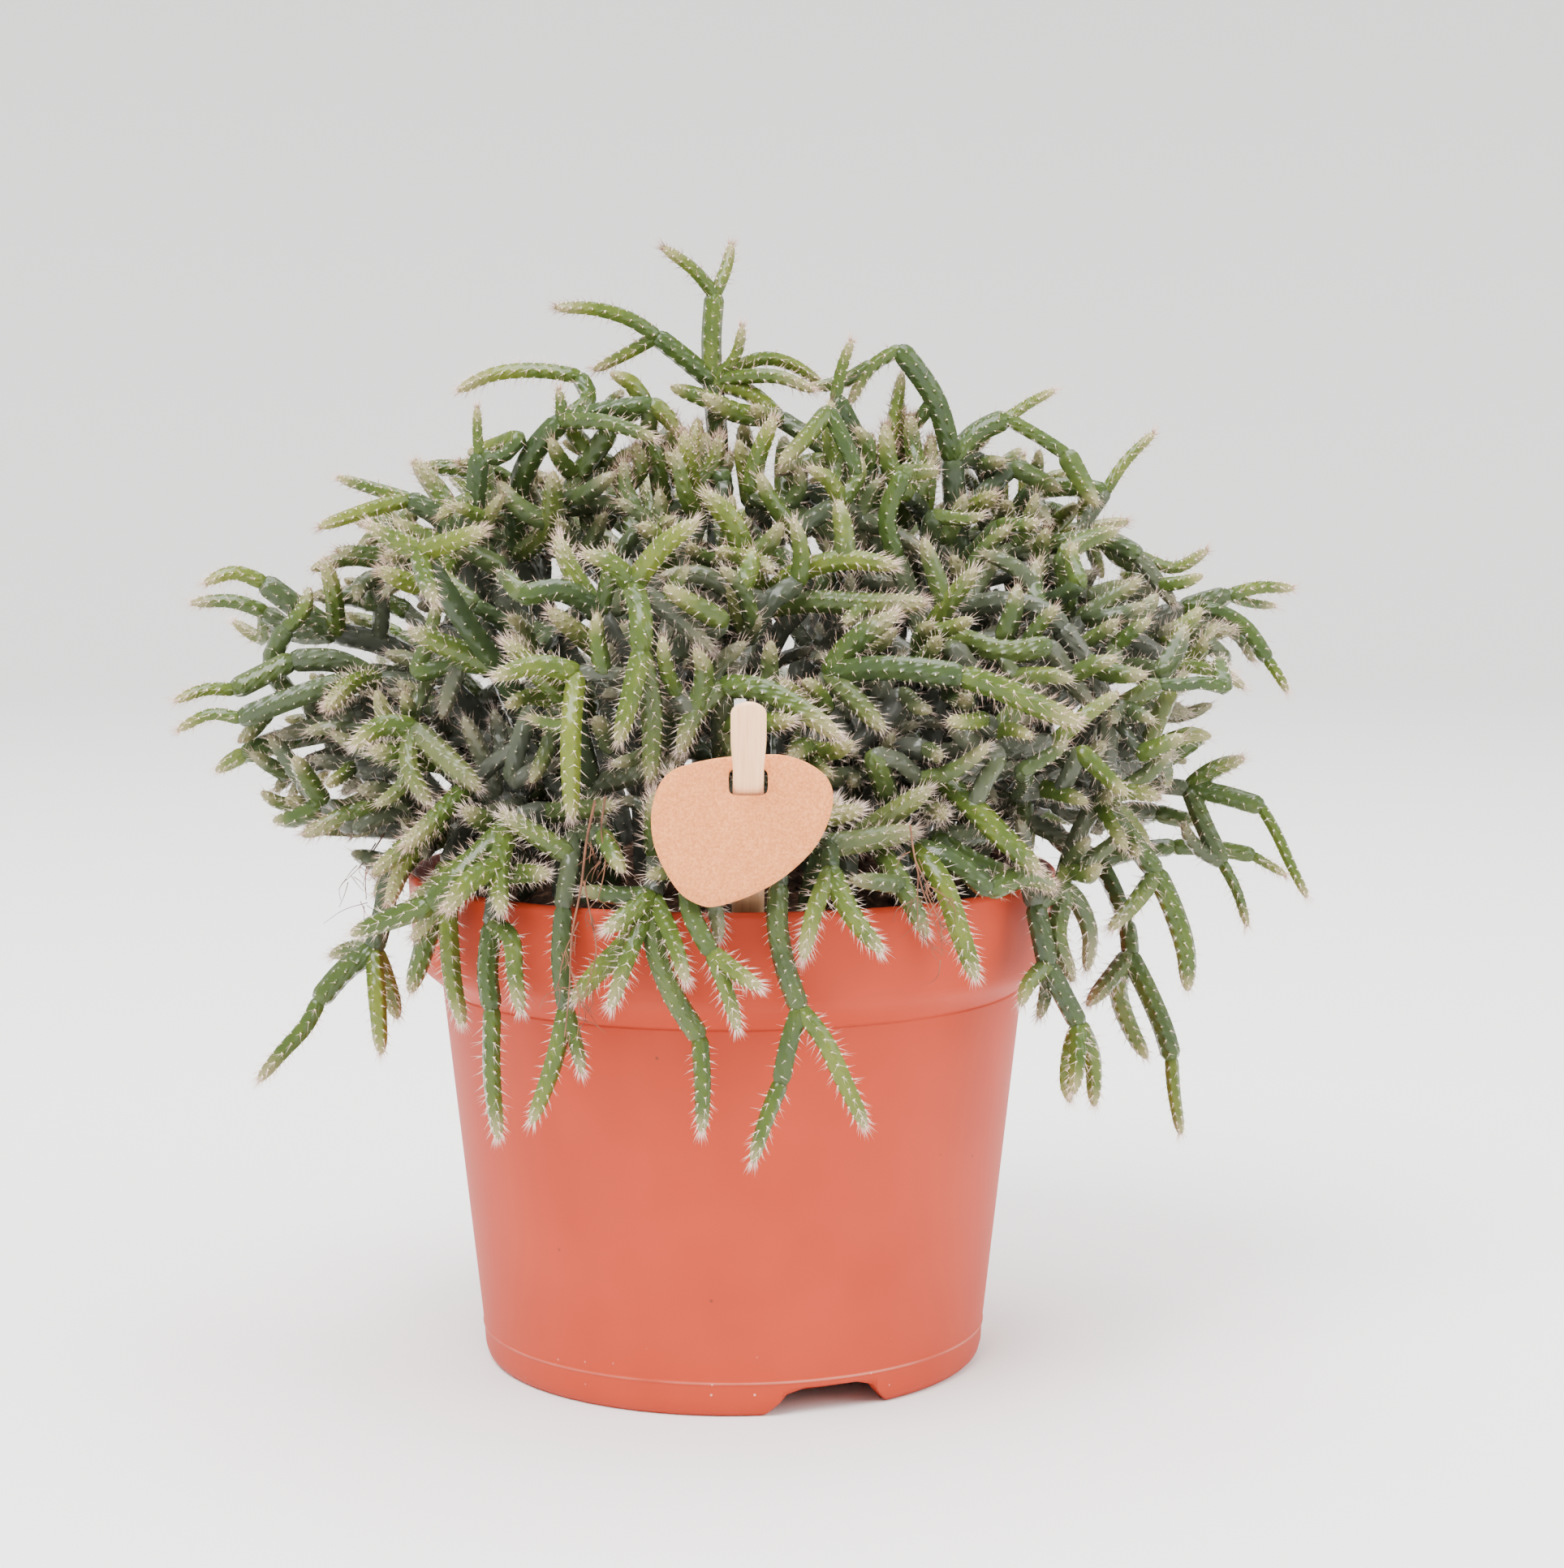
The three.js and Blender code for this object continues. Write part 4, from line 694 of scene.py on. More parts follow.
def bend_clear():
    """The rounds of pushing stems away from each other, from the pot, the soil and the card, and from the
    stick."""
    place = np.array(points)
    start, is_fixed = place.copy(), np.array(fixed)
    a, b, radius, spray, index = list_spans()
    i, j = np.triu_indices(len(a), 1)
    own = spray[i] == spray[j]
    near = (a[i] == a[j]) | (a[i] == b[j]) | (b[i] == a[j]) | (b[i] == b[j]) | (index[i] == index[j])
    i, j, own = i[~(own & near)], j[~(own & near)], own[~(own & near)]
    room = np.where(own, (radius[i] + radius[j]) * CLEAR["own"], radius[i] + radius[j] + CLEAR["gap"])
    count = np.bincount(np.concatenate([a, b]), minlength=len(place))[:, None]
    foot, top = stick_ends()
    for turn in range(CLEAR["rounds"]):
        push = np.zeros_like(place)
        middle, half = (place[a] + place[b]) / 2, np.linalg.norm(place[a] - place[b], axis=1) / 2
        apart = ((middle[i] - middle[j]) ** 2).sum(1)
        some = apart <= (half[i] + half[j] + room) ** 2
        u, v, need = i[some], j[some], room[some]
        s, t = nearest(place[a[u]], place[b[u]], place[a[v]], place[b[v]])
        at_u = place[a[u]] + (place[b[u]] - place[a[u]]) * s[:, None]
        at_v = place[a[v]] + (place[b[v]] - place[a[v]]) * t[:, None]
        distance = np.linalg.norm(at_u - at_v, axis=1)
        hit = (distance < need) & (distance >= 1e-6)
        vector = (at_u - at_v)[hit] * ((need - distance)[hit] / distance[hit])[:, None]
        u, v, s, t = u[hit], v[hit], s[hit], t[hit]
        give(push, a[u], b[u], s, vector, CLEAR["stem"])
        give(push, a[v], b[v], t, -vector, CLEAR["stem"])
        for part in np.linspace(0, 1, 5):
            there = place[a] + (place[b] - place[a]) * part
            give(push, a, b, np.full(len(a), part), push_from_holder(there, radius), CLEAR["holder"])
        s, t = nearest(place[a], place[b], foot, top)
        off = place[a] + (place[b] - place[a]) * s[:, None] - (foot + (top - foot) * t[:, None])
        distance, need = np.linalg.norm(off, axis=1), radius + STICK["width"] / 2 + CLEAR["gap"]
        hit = distance < need
        vector = off[hit] * ((need - distance)[hit] / distance[hit])[:, None]
        give(push, a[hit], b[hit], s[hit], vector, CLEAR["stick"])
        if turn < CLEAR["rounds"] - CLEAR["settle"]:
            moved, mean = place - start, np.zeros_like(place)
            np.add.at(mean, a, moved[b])
            np.add.at(mean, b, moved[a])
            push += CLEAR["spread"] * (mean / count - moved)
        place[~is_fixed] += np.clip(push, -CLEAR["step"], CLEAR["step"])[~is_fixed]
    return place
place = bend_clear()
moved = np.linalg.norm(place - np.array(points), axis=1)
print("the stems' points were moved by", round(float(moved.mean()), 2), "mm on average")
# %% [markdown]
# ## More stems inside the bush
#
# The real bush is full of short stems between the long ones. They grow here by chance: a stem starts at a
# point of another one, points more or less away from the heart of the bush, and is kept only where it is
# clear of every other stem, the soil, the rim and the card, and where other stems stand around its tip and
# beyond it, so that the outline of the bush stays as it is.

# %% Stems between the stems
BETWEEN = {"tries": 26000, "most": 798, "length": (8, 16), "width": (3.0, 4.2), "lead": 0.7, "stray": 0.55,
           "bow": 0.07, "gap": 0.2, "kin": 0.1, "around": 15, "company": 5, "beyond": 2, "crown": 160,
           "side": 67, "thins": 3, "lowest": 96, "pushed": 0.01, "stick": 0.5, "seed": 90210}
HEART = np.array([0.0, 0.0, 100.0])
# Where short bristly shoots stand close together on the top: middles and radii of balls that hold their tips.
CLUMPS = np.array([[-10, -6, 168, 9.5], [-20, -8, 165, 7], [24, 4, 168, 8], [9, -8, 159, 8], [-39, 0, 160, 7],
                   [42, 0, 161, 8], [14, 2, 161, 8], [-28, -4, 160, 8]])
CLUMP = {"every": 3, "reach": 12, "length": (7, 13), "lead": (0, 0, 0.9)}


def to_spans(dots, start, end):
    """Distance of each dot from each straight span: the dot's foot on the span is clamped to its ends."""
    along = end - start
    share = ((dots[:, None] - start) * along).sum(2) / (along ** 2).sum(1)
    foot = start + np.clip(share, 0, 1)[..., None] * along
    return np.linalg.norm(dots[:, None] - foot, axis=2)


def clear_of_holder(dots, radius):
    """Whether dots of that radius are clear of the soil, the pot's rim and wall, the card and the stick."""
    off = np.abs(push_from_holder(dots, np.full(len(dots), radius))).sum()
    around = np.hypot(dots[:, 0], dots[:, 1])
    in_wall = (dots[:, 2] < POT_HEIGHT) & (around < RIM_RADIUS + radius)
    foot, top = stick_ends()
    from_stick = to_spans(dots, foot[None], top[None]).min()
    stick_free = from_stick > radius + STICK["width"] / 2 + BETWEEN["stick"]
    return off < BETWEEN["pushed"] and not in_wall.any() and stick_free


def grow_between(place):
    """Adds stems between the others and in the clumps, and gives all points and the number of new stems."""
    draw = np.random.default_rng(BETWEEN["seed"])
    place = list(place)
    a, b, radius, _, _ = list_spans()
    start, end = np.array(place)[a], np.array(place)[b]
    middle = (start + end) / 2
    shell = np.linalg.norm(middle - HEART, axis=1)
    joints = [(number, step) for number, stem in enumerate(stems)
              for step in range(1 if stem["parent"] is not None else 2, len(stem["along"]))]
    roots = np.array([place[stems[number]["along"][step]] for number, step in joints])
    count = len(stems)
    for trial in range(BETWEEN["tries"]):
        in_clump = trial % CLUMP["every"] == 0
        if in_clump:
            *centre, size = CLUMPS[draw.integers(len(CLUMPS))]
            near = np.flatnonzero(np.linalg.norm(roots - centre, axis=1) < size + CLUMP["reach"])
            chosen = near[draw.integers(len(near))] if len(near) else 0
        else:
            chosen = draw.integers(len(joints))
        parent, step = joints[chosen]
        root = roots[chosen]
        outward = (root - HEART) / np.linalg.norm(root - HEART)
        lead = np.array(CLUMP["lead"]) if in_clump else outward * BETWEEN["lead"]
        heading = lead + draw.normal(size=3) * BETWEEN["stray"]
        heading /= np.linalg.norm(heading)
        length = draw.uniform(*(CLUMP if in_clump else BETWEEN)["length"])
        width = draw.uniform(*BETWEEN["width"])
        bow = draw.normal(size=3) * BETWEEN["bow"] * length
        tip = root + heading * length
        if in_clump:
            wanted = np.linalg.norm(tip - centre) < size
        else:
            far = np.linalg.norm(tip - HEART)
            company = np.linalg.norm(middle - tip, axis=1) < BETWEEN["around"]
            least = BETWEEN["company"] + max(0, tip[2] - BETWEEN["crown"]) / BETWEEN["thins"]
            least += max(0, far - BETWEEN["side"]) / BETWEEN["thins"]
            wanted = company.sum() >= least and (company & (shell > far)).sum() >= BETWEEN["beyond"]
            wanted &= tip[2] > BETWEEN["lowest"]
        if not wanted or len(stems) - count >= BETWEEN["most"]:
            continue
        half = root + heading * length / 2 + bow
        dots = np.array([root * 0.3 + half * 0.7, half, half * 0.5 + tip * 0.5, tip])
        if not clear_of_holder(dots, width / 2):
            continue
        room = to_spans(dots, start, end) - radius - width / 2
        from_root = np.linalg.norm([start - root, end - root], axis=2).min(0)
        room[0, from_root < BETWEEN["kin"]] = np.inf
        if room.min() < BETWEEN["gap"]:
            continue
        numbers = [stems[parent]["along"][step], len(place), len(place) + 1]
        place += [half, tip]
        joints += [(len(stems), 1), (len(stems), 2)]
        roots = np.vstack([roots, half, tip])
        stems.append({"spray": stems[parent]["spray"], "along": numbers, "radius": width / 2,
                      "parent": parent, "between": True, "clump": in_clump})
        start = np.vstack([start, root, half])
        end = np.vstack([end, half, tip])
        radius = np.append(radius, [width / 2] * 2)
        middle = np.vstack([middle, (root + half) / 2, (half + tip) / 2])
        shell = np.linalg.norm(middle - HEART, axis=1)
    return np.array(place), len(stems) - count


# Stems that are laid out one by one once the others have grown: some hang over the left and the right end of
# the rim, and two bunches of young shoots stand in the crown. Each line holds a width, and the points of a
# stem as across, up and away. The stem grows from the point of the bush that is nearest to its first one, and
# is as bristly as the stems of a clump.
LAID_STEMS = """
3.7 -54,103,-37 -60.7,96.8,-39 -67.9,90.9,-40
3.6 -62,105,-17 -70.5,102.9,-20 -80.9,98.3,-22
3.0 -63.6,103,-13 -68.2,100.2,-17 -72.1,98.3,-18
3.6 -47.5,97,-51 -54.7,89.8,-45 -61.6,84.4,-43
4.2 -41,98,-55 -49.3,89.8,-59 -54.3,83.7,-60
3.6 -49,106,-35 -57,100.5,-46 -62,96,-50
3.4 -51,88,-42 -56,84,-40 -60.5,78.5,-38
3.4 -53,101,-11 -61.5,93,-23 -65,85,-28
3.6 58.2,89.6,-33 61.2,79.5,-35 64.4,70.2,-34
3.2 62.9,93.8,-28 61.9,87.6,-33 61.9,81.4,-34
3.8 48.8,91.6,-50 55,90.4,-46 60.8,88.2,-38
3.6 -15.4,162.1,-12 -16.9,167.4,-12 -18.1,171.9,-12
3.8 -13.2,162.8,-10 -14.2,169.6,-9 -15.4,175.6,-8
4.0 -10.1,163.6,-8 -10.6,170.4,-6 -11.1,177.4,-5
3.8 -7.9,162.8,-10 -7,169.6,-9 -6.3,176.3,-8
3.6 -5.6,162.1,-12 -3.6,167.8,-13 -2.1,173.4,-14
3.6 -8.6,165.1,-15 -8.6,169.6,-17 -8.9,174.1,-18
3.4 -18.5,157.6,-14 -19.9,163.6,-15 -20.2,168.9,-15
3.2 -4.9,163.6,-8 -1.4,166.6,-8 .1,170.2,-8
3.8 31.4,165.1,2 30.9,173.3,3 30.7,181.3,3
3.6 29.6,164.8,-1 28.8,170.3,-2 28.3,175.6,-2
3.8 33.7,164.8,0 33.6,171.1,0 33.1,177.4,0
3.6 35.9,163.9,2 36.8,168.8,2 37.1,173.3,2
3.4 27.6,163.6,2 26.8,167.3,3 26.2,171.1,3
"""


def grow_laid_stems(place):
    """Adds the stems of the list, and gives all points."""
    for line in LAID_STEMS.strip().splitlines():
        width, *words = line.split()
        path = seen(words)
        joints = [(number, index) for number, stem in enumerate(stems) for index in stem["along"][1:]]
        away = [np.linalg.norm(place[index] - path[0]) for _, index in joints]
        parent, index = joints[int(np.argmin(away))]
        numbers = [index, len(place), len(place) + 1]
        place = np.vstack([place, path[1:]])
        stems.append({"spray": stems[parent]["spray"], "along": numbers, "radius": float(width) / 2,
                      "parent": parent, "clump": True})
    return place


# How deep a stem lies in the bush sets how much painted shade its colours get: spans further out by more than
# 2 mm count, 14 of them give full shade, and the shade fades out upwards between 143 and 178 mm, at the open
# top.
DEEP = {"beyond": 2, "full": 14, "closed_below": 178, "fades_over": 35}


def depth_inside():
    """How deep each stem's end lies in the bush, from 0 to 1: how many other spans lie further out there, and
    less near the open top. It sets the painted shade of the stem's skin, wool and bristles, for the light
    that the outer stems keep off."""
    a, b, _, _, _ = list_spans()
    middle = (place[a] + place[b]) / 2
    shell = np.linalg.norm(middle - HEART, axis=1)
    tips = place[[stem["along"][-1] for stem in stems]]
    near = np.linalg.norm(tips[:, None] - middle, axis=2) < BETWEEN["around"]
    further = shell > np.linalg.norm(tips - HEART, axis=1)[:, None] + DEEP["beyond"]
    open_top = np.clip((DEEP["closed_below"] - tips[:, 2]) / DEEP["fades_over"], 0, 1)
    return np.clip((near & further).sum(1) / DEEP["full"], 0, 1) * open_top


place, added = grow_between(place)
place = grow_laid_stems(place)
depth = depth_inside()
print(added, "stems grow between the others,", sum(stem.get("clump", False) for stem in stems), "in clumps;",
      int((depth > 0.5).sum()), "of", len(stems), "lie deep inside")
# %% [markdown]
# ## The skin of a stem
#
# A stem is a smooth line with a ring of points carried along it. It has five, six or eight low ribs. On
# each rib stands a row of areoles, half a step further on than those of the rib beside it, and towards a
# growing tip the steps become shorter. A stem swells within a radius of its joint and ends in a dome, which
# gives the pinched joints of a linked chain. The mesh carries the numbers that the skin's material needs to
# draw the flat bump under each areole: the way along the stem counted in steps, and two waves round it.

# %% Lines and rings
def smooth_path(path, share):
    """A cubic through the points at shares of the way, and its length: each span blends its two ends and
    their tangents, and a tangent is the slope between a point's neighbours."""
    chord = np.concatenate([[0], np.cumsum(np.linalg.norm(np.diff(path, axis=0), axis=1))])
    slope = np.gradient(path, chord, axis=0)
    way = share * chord[-1]
    span = np.clip(np.searchsorted(chord, way, "right") - 1, 0, len(path) - 2)
    h = (chord[span + 1] - chord[span])[:, None]
    t = (way - chord[span])[:, None] / h
    line = (2 * t ** 3 - 3 * t ** 2 + 1) * path[span] + (t ** 3 - 2 * t ** 2 + t) * h * slope[span]
    line += (3 * t ** 2 - 2 * t ** 3) * path[span + 1] + (t ** 3 - t ** 2) * h * slope[span + 1]
    return line, chord[-1]


def unit(vectors):
    """Vectors of length one."""
    return vectors / np.linalg.norm(vectors, axis=-1, keepdims=True)


# The ends of a stem, as shares of its radius: how far it is sunk into its parent or runs on into its child,
# where its first and last rings stand, and how long the half ellipses are at a joint and at a tip.
ENDS = {"sunk": 0.45, "on": 0.4, "joint_rings": (0.08, 0.4, 0.9), "tip_rings": (0.1, 0.5, 1.1, 1.9),
        "from": 1.4, "to": 0.5, "joint": 1.15, "tip": 2.2}
TAPER = {"by": 0.3, "over": 12, "power": 1.5}
GROWING = {"over": 9, "pitch": 1.3}
RIBS = {"inside": 5, "slim": 6, "stout": 8, "slim_below": 1.75, "height": 0.045}


def stem_rings(stem, is_free, step):
    """The rings of a stem: lengths along it, centres, directions on and across, and radii.
    The radius is that of a half ellipse at both ends, and a free end tapers."""
    r = stem["radius"]
    path = place[stem["along"]]
    if stem["parent"] is not None:
        path = np.vstack([path[0] - ENDS["sunk"] * r * unit(path[1] - path[0]), path[1:]])
    if not is_free:
        path = np.vstack([path[:-1], path[-1] + ENDS["on"] * r * unit(path[-1] - path[-2])])
    _, length = smooth_path(path, np.array([0.0, 1.0]))
    first = r * np.array(ENDS["joint_rings"])
    last = r * np.array(ENDS["tip_rings"] if is_free else ENDS["joint_rings"])
    many = max(2, round((length - 3 * r) / step))
    middle = np.linspace(ENDS["from"] * r, length - last[-1] - ENDS["to"] * r, many)
    s = np.concatenate([[0], first, middle, length - last[::-1], [length]])
    line, _ = smooth_path(path, s / length)
    way = unit(np.gradient(line, axis=0))
    plane = np.linalg.svd(line - line.mean(0), full_matrices=False)[2][2]
    u = unit(plane - (way @ plane)[:, None] * way)
    rise = np.clip(s / (ENDS["joint"] * r), 0, 1) if stem["parent"] is not None else np.ones(len(s))
    fall = np.clip((length - s) / (ENDS["tip" if is_free else "joint"] * r), 0, 1)
    into = np.clip((s - length + TAPER["over"]) / TAPER["over"], 0, 1)
    taper = 1 - TAPER["by"] * into ** TAPER["power"] * is_free
    radius = r * np.sqrt(1 - (1 - rise) ** 2) * np.sqrt(1 - (1 - fall) ** 2) * taper
    return {"s": s, "line": line, "way": way, "u": u, "v": np.cross(way, u), "radius": radius,
            "length": length}


def steps_along(s, length, pitch, is_free):
    """Lengths counted in steps from areole to areole: each step is a pitch long, and over the last 9 mm of a
    growing stem it shrinks in a straight line to 1.3 mm, so the count there grows as a logarithm."""
    if not is_free:
        return s / pitch
    into = np.clip(s - length + GROWING["over"], 0, GROWING["over"])
    shrink = (pitch - GROWING["pitch"]) / GROWING["over"]
    return (s - into) / pitch - np.log(1 - shrink * into / pitch) / shrink


def on_skin(rings, s, angle, ribs):
    """Points of the skin at lengths and angles, with the directions outwards and onwards there: the radius
    grows and shrinks a little from rib to groove."""
    line, way, u, v = (np.stack([np.interp(s, rings["s"], rings[key][:, k]) for k in range(3)], -1)
                       for key in ("line", "way", "u", "v"))
    radius = np.interp(s, rings["s"], rings["radius"]) * (1 + RIBS["height"] * np.cos(ribs * angle))
    out = np.cos(angle)[:, None] * u + np.sin(angle)[:, None] * v
    return line + out * radius[:, None], out, way
# %% [markdown]
# ## Areoles and bristles
#
# An areole is a cushion of cream wool less than a millimetre wide. Its bristles are thinner than a hair, so
# they are drawn about three times as thick as they are, to show at all, and there are fewer of them. Growing
# tips bear the longest and densest ones and end in a pale tuft, and old stems are nearly bare.

# %% Cushions and bristles as arrays
def circle(u, v, angle):
    """Directions at the angles in the plane of each pair of directions u and v."""
    return np.cos(angle)[None, :, None] * u[:, None] + np.sin(angle)[None, :, None] * v[:, None]


def spikes(root, heading, length, width, other):
    """Pyramids on a triangle: three corners round the root, the first towards a given direction, and one
    point at the far end."""
    u = unit(other - (other * heading).sum(1)[:, None] * heading)
    ring = circle(u, np.cross(heading, u), full_turn(3))
    foot = root[:, None] + ring * width[:, None, None] / 2
    dots = np.concatenate([foot, (root + heading * length[:, None])[:, None]], 1)
    faces = np.array([[0, 1, 3], [1, 2, 3], [2, 0, 3], [0, 2, 1]])
    return dots.reshape(-1, 3), (faces + 4 * np.arange(len(root))[:, None, None]).reshape(-1, 3)
class Heap:
    """Points, faces and values of many shapes that become one mesh."""

    def __init__(self):
        self.dots, self.faces, self.values, self.count = [], [], {}, 0

    def add(self, dots, faces, **values):
        self.dots.append(dots)
        self.faces.append(faces + self.count)
        self.count += len(dots)
        for key, numbers in values.items():
            self.values.setdefault(key, []).append(np.broadcast_to(numbers, len(dots)))

    def piece(self, name, slot, nodes=()):
        values = {key: np.concatenate(parts) for key, parts in self.values.items()}
        return make_piece(name, np.vstack(self.dots), np.vstack(self.faces), nodes, values)
# %% Every spray in its fine form
# Stems inside the bush are made older, so darker, and their bristles tanner, and bristles grow tanner with
# height: partly their own colour, partly painted shade.
AGE = {"rooted": 0.95, "grown": 0.68, "growing": 0.3, "inside": 0.12, "varies": 0.14}
BRISTLY = {"growing": 0.78, "grown": 0.3, "clump": 0.2, "varies": 0.16, "least": 0.1}
TAN = {"low": 0.25, "rise": 0.3, "from": 110, "over": 70, "inside": 0.1, "clump": 0.3, "varies": 0.14}
STEP = {"pitch": 2.2, "older": 0.8, "ring": 1.6, "ring_inside": 2.6}
CUSHION = {"size": (0.75, 1.1), "base": 0.8, "bristly": 0.25, "height": 0.32, "width": 0.68, "sunk": 0.1,
           "onward": 0.3, "tan": 0.5, "free_of_end": 0.4}
BRISTLE = {"width": 0.1, "seed": 4711, "many": (3.8, 2.6), "few": (2.1, 1.0), "length": (0.9, 2.8),
           "bend": 1.1, "aside": 0.6, "tuft": (18, 24), "tuft_inside": 10, "tuft_length": (1.4, 2.9)}
has_child = {stem["along"][0] for stem in stems}


def stem_look(stem, draw):
    """How a stem looks: whether its end is free, whether it grows inside the bush, its age from 0 to 1, its
    ribs, how bristly it is, and how tan its bristles are. Inside the bush a stem is older, so its skin is
    darker, and its bristles are tanner, and bristles are tanner the higher they stand: partly their own
    colour and partly painted shade."""
    is_free, is_rooted = stem["along"][-1] not in has_child, stem["parent"] is None
    clump, inside = stem.get("clump", False), stem.get("between", False) or is_rooted
    height = place[stem["along"][-1]][2]
    age = AGE["rooted" if is_rooted else "growing" if is_free else "grown"]
    age = np.clip(age + draw.normal() * AGE["varies"] + AGE["inside"] * inside, 0, 1)
    bristly = BRISTLY["growing" if is_free else "grown"] + draw.normal() * BRISTLY["varies"]
    tan = TAN["low"] + TAN["rise"] * (height - TAN["from"]) / TAN["over"] + draw.normal() * TAN["varies"]
    return {"is_free": is_free, "inside": inside, "age": age,
            "ribs": RIBS["inside" if inside else "slim" if stem["radius"] < RIBS["slim_below"] else "stout"],
            "bristly": np.clip(bristly + BRISTLY["clump"] * clump, BRISTLY["least"], 1),
            "tan": np.clip(tan + TAN["inside"] * inside + TAN["clump"] * clump, 0, 1)}


def add_skin(skin, rings, look, counted, deep):
    """The skin of a stem, with the numbers that its material needs at each point."""
    ribs, is_free, length = look["ribs"], look["is_free"], rings["length"]
    sides, rows = ribs * 2, len(rings["s"]) - 2
    s, angle = np.repeat(rings["s"][1:-1], sides), np.tile(full_turn(sides), rows)
    dots, _, _ = on_skin(rings, s, angle, ribs)
    s, angle = np.append(s, [0, length]), np.append(angle, [0, 0])
    pale = min(4 + 10 * np.clip((look["bristly"] - 0.8) / 0.2, 0, 1), 0.35 * length)
    young = (1 - look["age"]) * (np.clip(0.75 + 0.35 * s / length, 0, 1) if is_free else 1)
    skin.add(np.vstack([dots, rings["line"][0], rings["line"][-1]]), tube_faces(rows, sides), age=1 - young,
             steps=counted(s), wave=np.cos(ribs * angle / 2), cross_wave=np.sin(ribs * angle / 2),
             tip=np.clip((s - length + pale) / pale, 0, 1) * is_free, deep=deep)


def find_areoles(stem, rings, ribs, counted):
    """The areoles' lengths along the stem and their ribs: those lengths at which the count of steps, moved by
    half a step a rib, is whole."""
    fine = np.linspace(0, rings["length"], 400)
    steps = counted(fine)
    rib, whole = np.meshgrid(np.arange(ribs), np.arange(0, int(steps[-1]) + ribs), indexing="ij")
    wanted, rib = (whole - rib / 2).ravel(), rib.ravel()
    s = np.interp(wanted, steps, fine)
    first = max(stem["radius"], ROOTS["depth"] + 2 if stem["parent"] is None else 0)
    last = rings["length"] - CUSHION["free_of_end"] * stem["radius"]
    some = (wanted > steps[0]) & (wanted < steps[-1]) & (s > first) & (s < last)
    return s[some], rib[some]


def add_bristles(wool, stem, rings, look, areoles, deep, draw):
    """A tuft of bristles on each areole, which leans on more and more towards the tip, and a tuft on a free
    end."""
    root, out, way, tip = areoles
    is_free, inside, bristly, radius = look["is_free"], look["inside"], look["bristly"], stem["radius"]
    base, at_tip = BRISTLE["few" if inside and not stem.get("clump") else "many"]
    count = np.floor(bristly * (base + at_tip * tip) + draw.uniform(0, 1, len(root))).astype(int)
    which = np.repeat(np.arange(len(root)), count)
    lean = draw.uniform(0.0, 1.0, len(which)) + BRISTLE["bend"] * tip[which]
    side = np.cross(way, out)[which] * draw.normal(size=(len(which), 1)) * BRISTLE["aside"]
    heading = unit(out[which] + way[which] * lean[:, None] + side)
    long = draw.uniform(*BRISTLE["length"], len(which)) * (0.6 + 0.5 * bristly) * (1 - 0.2 * tip[which])
    feet = root[which] - CUSHION["sunk"] * out[which]
    if is_free:
        least, more = BRISTLE["tuft"]
        tuft = BRISTLE["tuft_inside"] if inside else least + int(more * bristly)
        spread = unit(draw.normal(size=(tuft, 3)))
        end = rings["way"][-1]
        feet = np.vstack([feet, rings["line"][-1] + spread * radius * 0.3 - end * radius * 0.5])
        heading = np.vstack([heading, unit(end * 1.3 + spread * 0.6)])
        long = np.append(long, draw.uniform(*BRISTLE["tuft_length"], tuft))
    wide = BRISTLE["width"] * draw.uniform(0.8, 1.2, len(feet))
    other = np.where(np.abs(heading[:, 2:]) < 0.8, [[0.0, 0.0, 1.0]], [[1.0, 0.0, 0.0]])
    dots, faces = spikes(feet, heading, long, wide, other)
    tan = np.clip(np.repeat(look["tan"] + draw.normal(size=len(feet)) * 0.15, 4), 0, 1)
    wool.add(dots, faces, tan=tan, wool=0.0, deep=deep)


def dress(stem, deep, skin, wool, draw):
    """Adds the skin, the areoles and the bristles of one stem."""
    look = stem_look(stem, draw)
    is_free, bristly = look["is_free"], look["bristly"]
    pitch = STEP["pitch"] + STEP["older"] * look["age"]
    rings = stem_rings(stem, is_free, STEP["ring_inside" if look["inside"] else "ring"])
    phase = draw.uniform(0, 1)

    def counted(s):
        return steps_along(s, rings["length"], pitch, is_free) + phase

    add_skin(skin, rings, look, counted, deep)
    s, rib = find_areoles(stem, rings, look["ribs"], counted)
    if len(s) == 0:
        return
    root, out, way = on_skin(rings, s, 2 * math.pi * rib / look["ribs"], look["ribs"])
    tip = np.clip((s - rings["length"] + GROWING["over"]) / GROWING["over"], 0, 1) * is_free
    size = draw.uniform(*CUSHION["size"], len(s)) * (CUSHION["base"] + CUSHION["bristly"] * bristly)
    dots, faces = spikes(root - CUSHION["sunk"] * out, unit(out + CUSHION["onward"] * way),
                         CUSHION["height"] * size, CUSHION["width"] * size, way)
    wool.add(dots, faces, tan=look["tan"] * CUSHION["tan"], wool=1.0, deep=deep)
    add_bristles(wool, stem, rings, look, (root, out, way, tip), deep, draw)
spray_skins, spray_wools = [], []
for number, spray in enumerate(sprays):
    draw = np.random.default_rng(BRISTLE["seed"] + number)
    skin, wool = Heap(), Heap()
    for index, stem in enumerate(stems):
        if stem["spray"] == number:
            dress(stem, depth[index], skin, wool, draw)
    node = "spray_" + spray["name"]
    spray_skins.append(skin.piece("stems_" + spray["name"], "cactus_stem", [node]))
    spray_wools.append(wool.piece("bristles_" + spray["name"], "cactus_stem"))
print("the sprays have", sum(len(piece.data.polygons) for piece in spray_skins), "triangles of skin and",
      sum(len(piece.data.polygons) for piece in spray_wools), "of wool and bristles")

# %% [markdown]
# ## Dry roots
#
# Thin brown roots hang out of the bush: a few long ones with side hairs in front of the pot, and a fine tuft
# over the rim. Each is a slim tube along a smooth line.

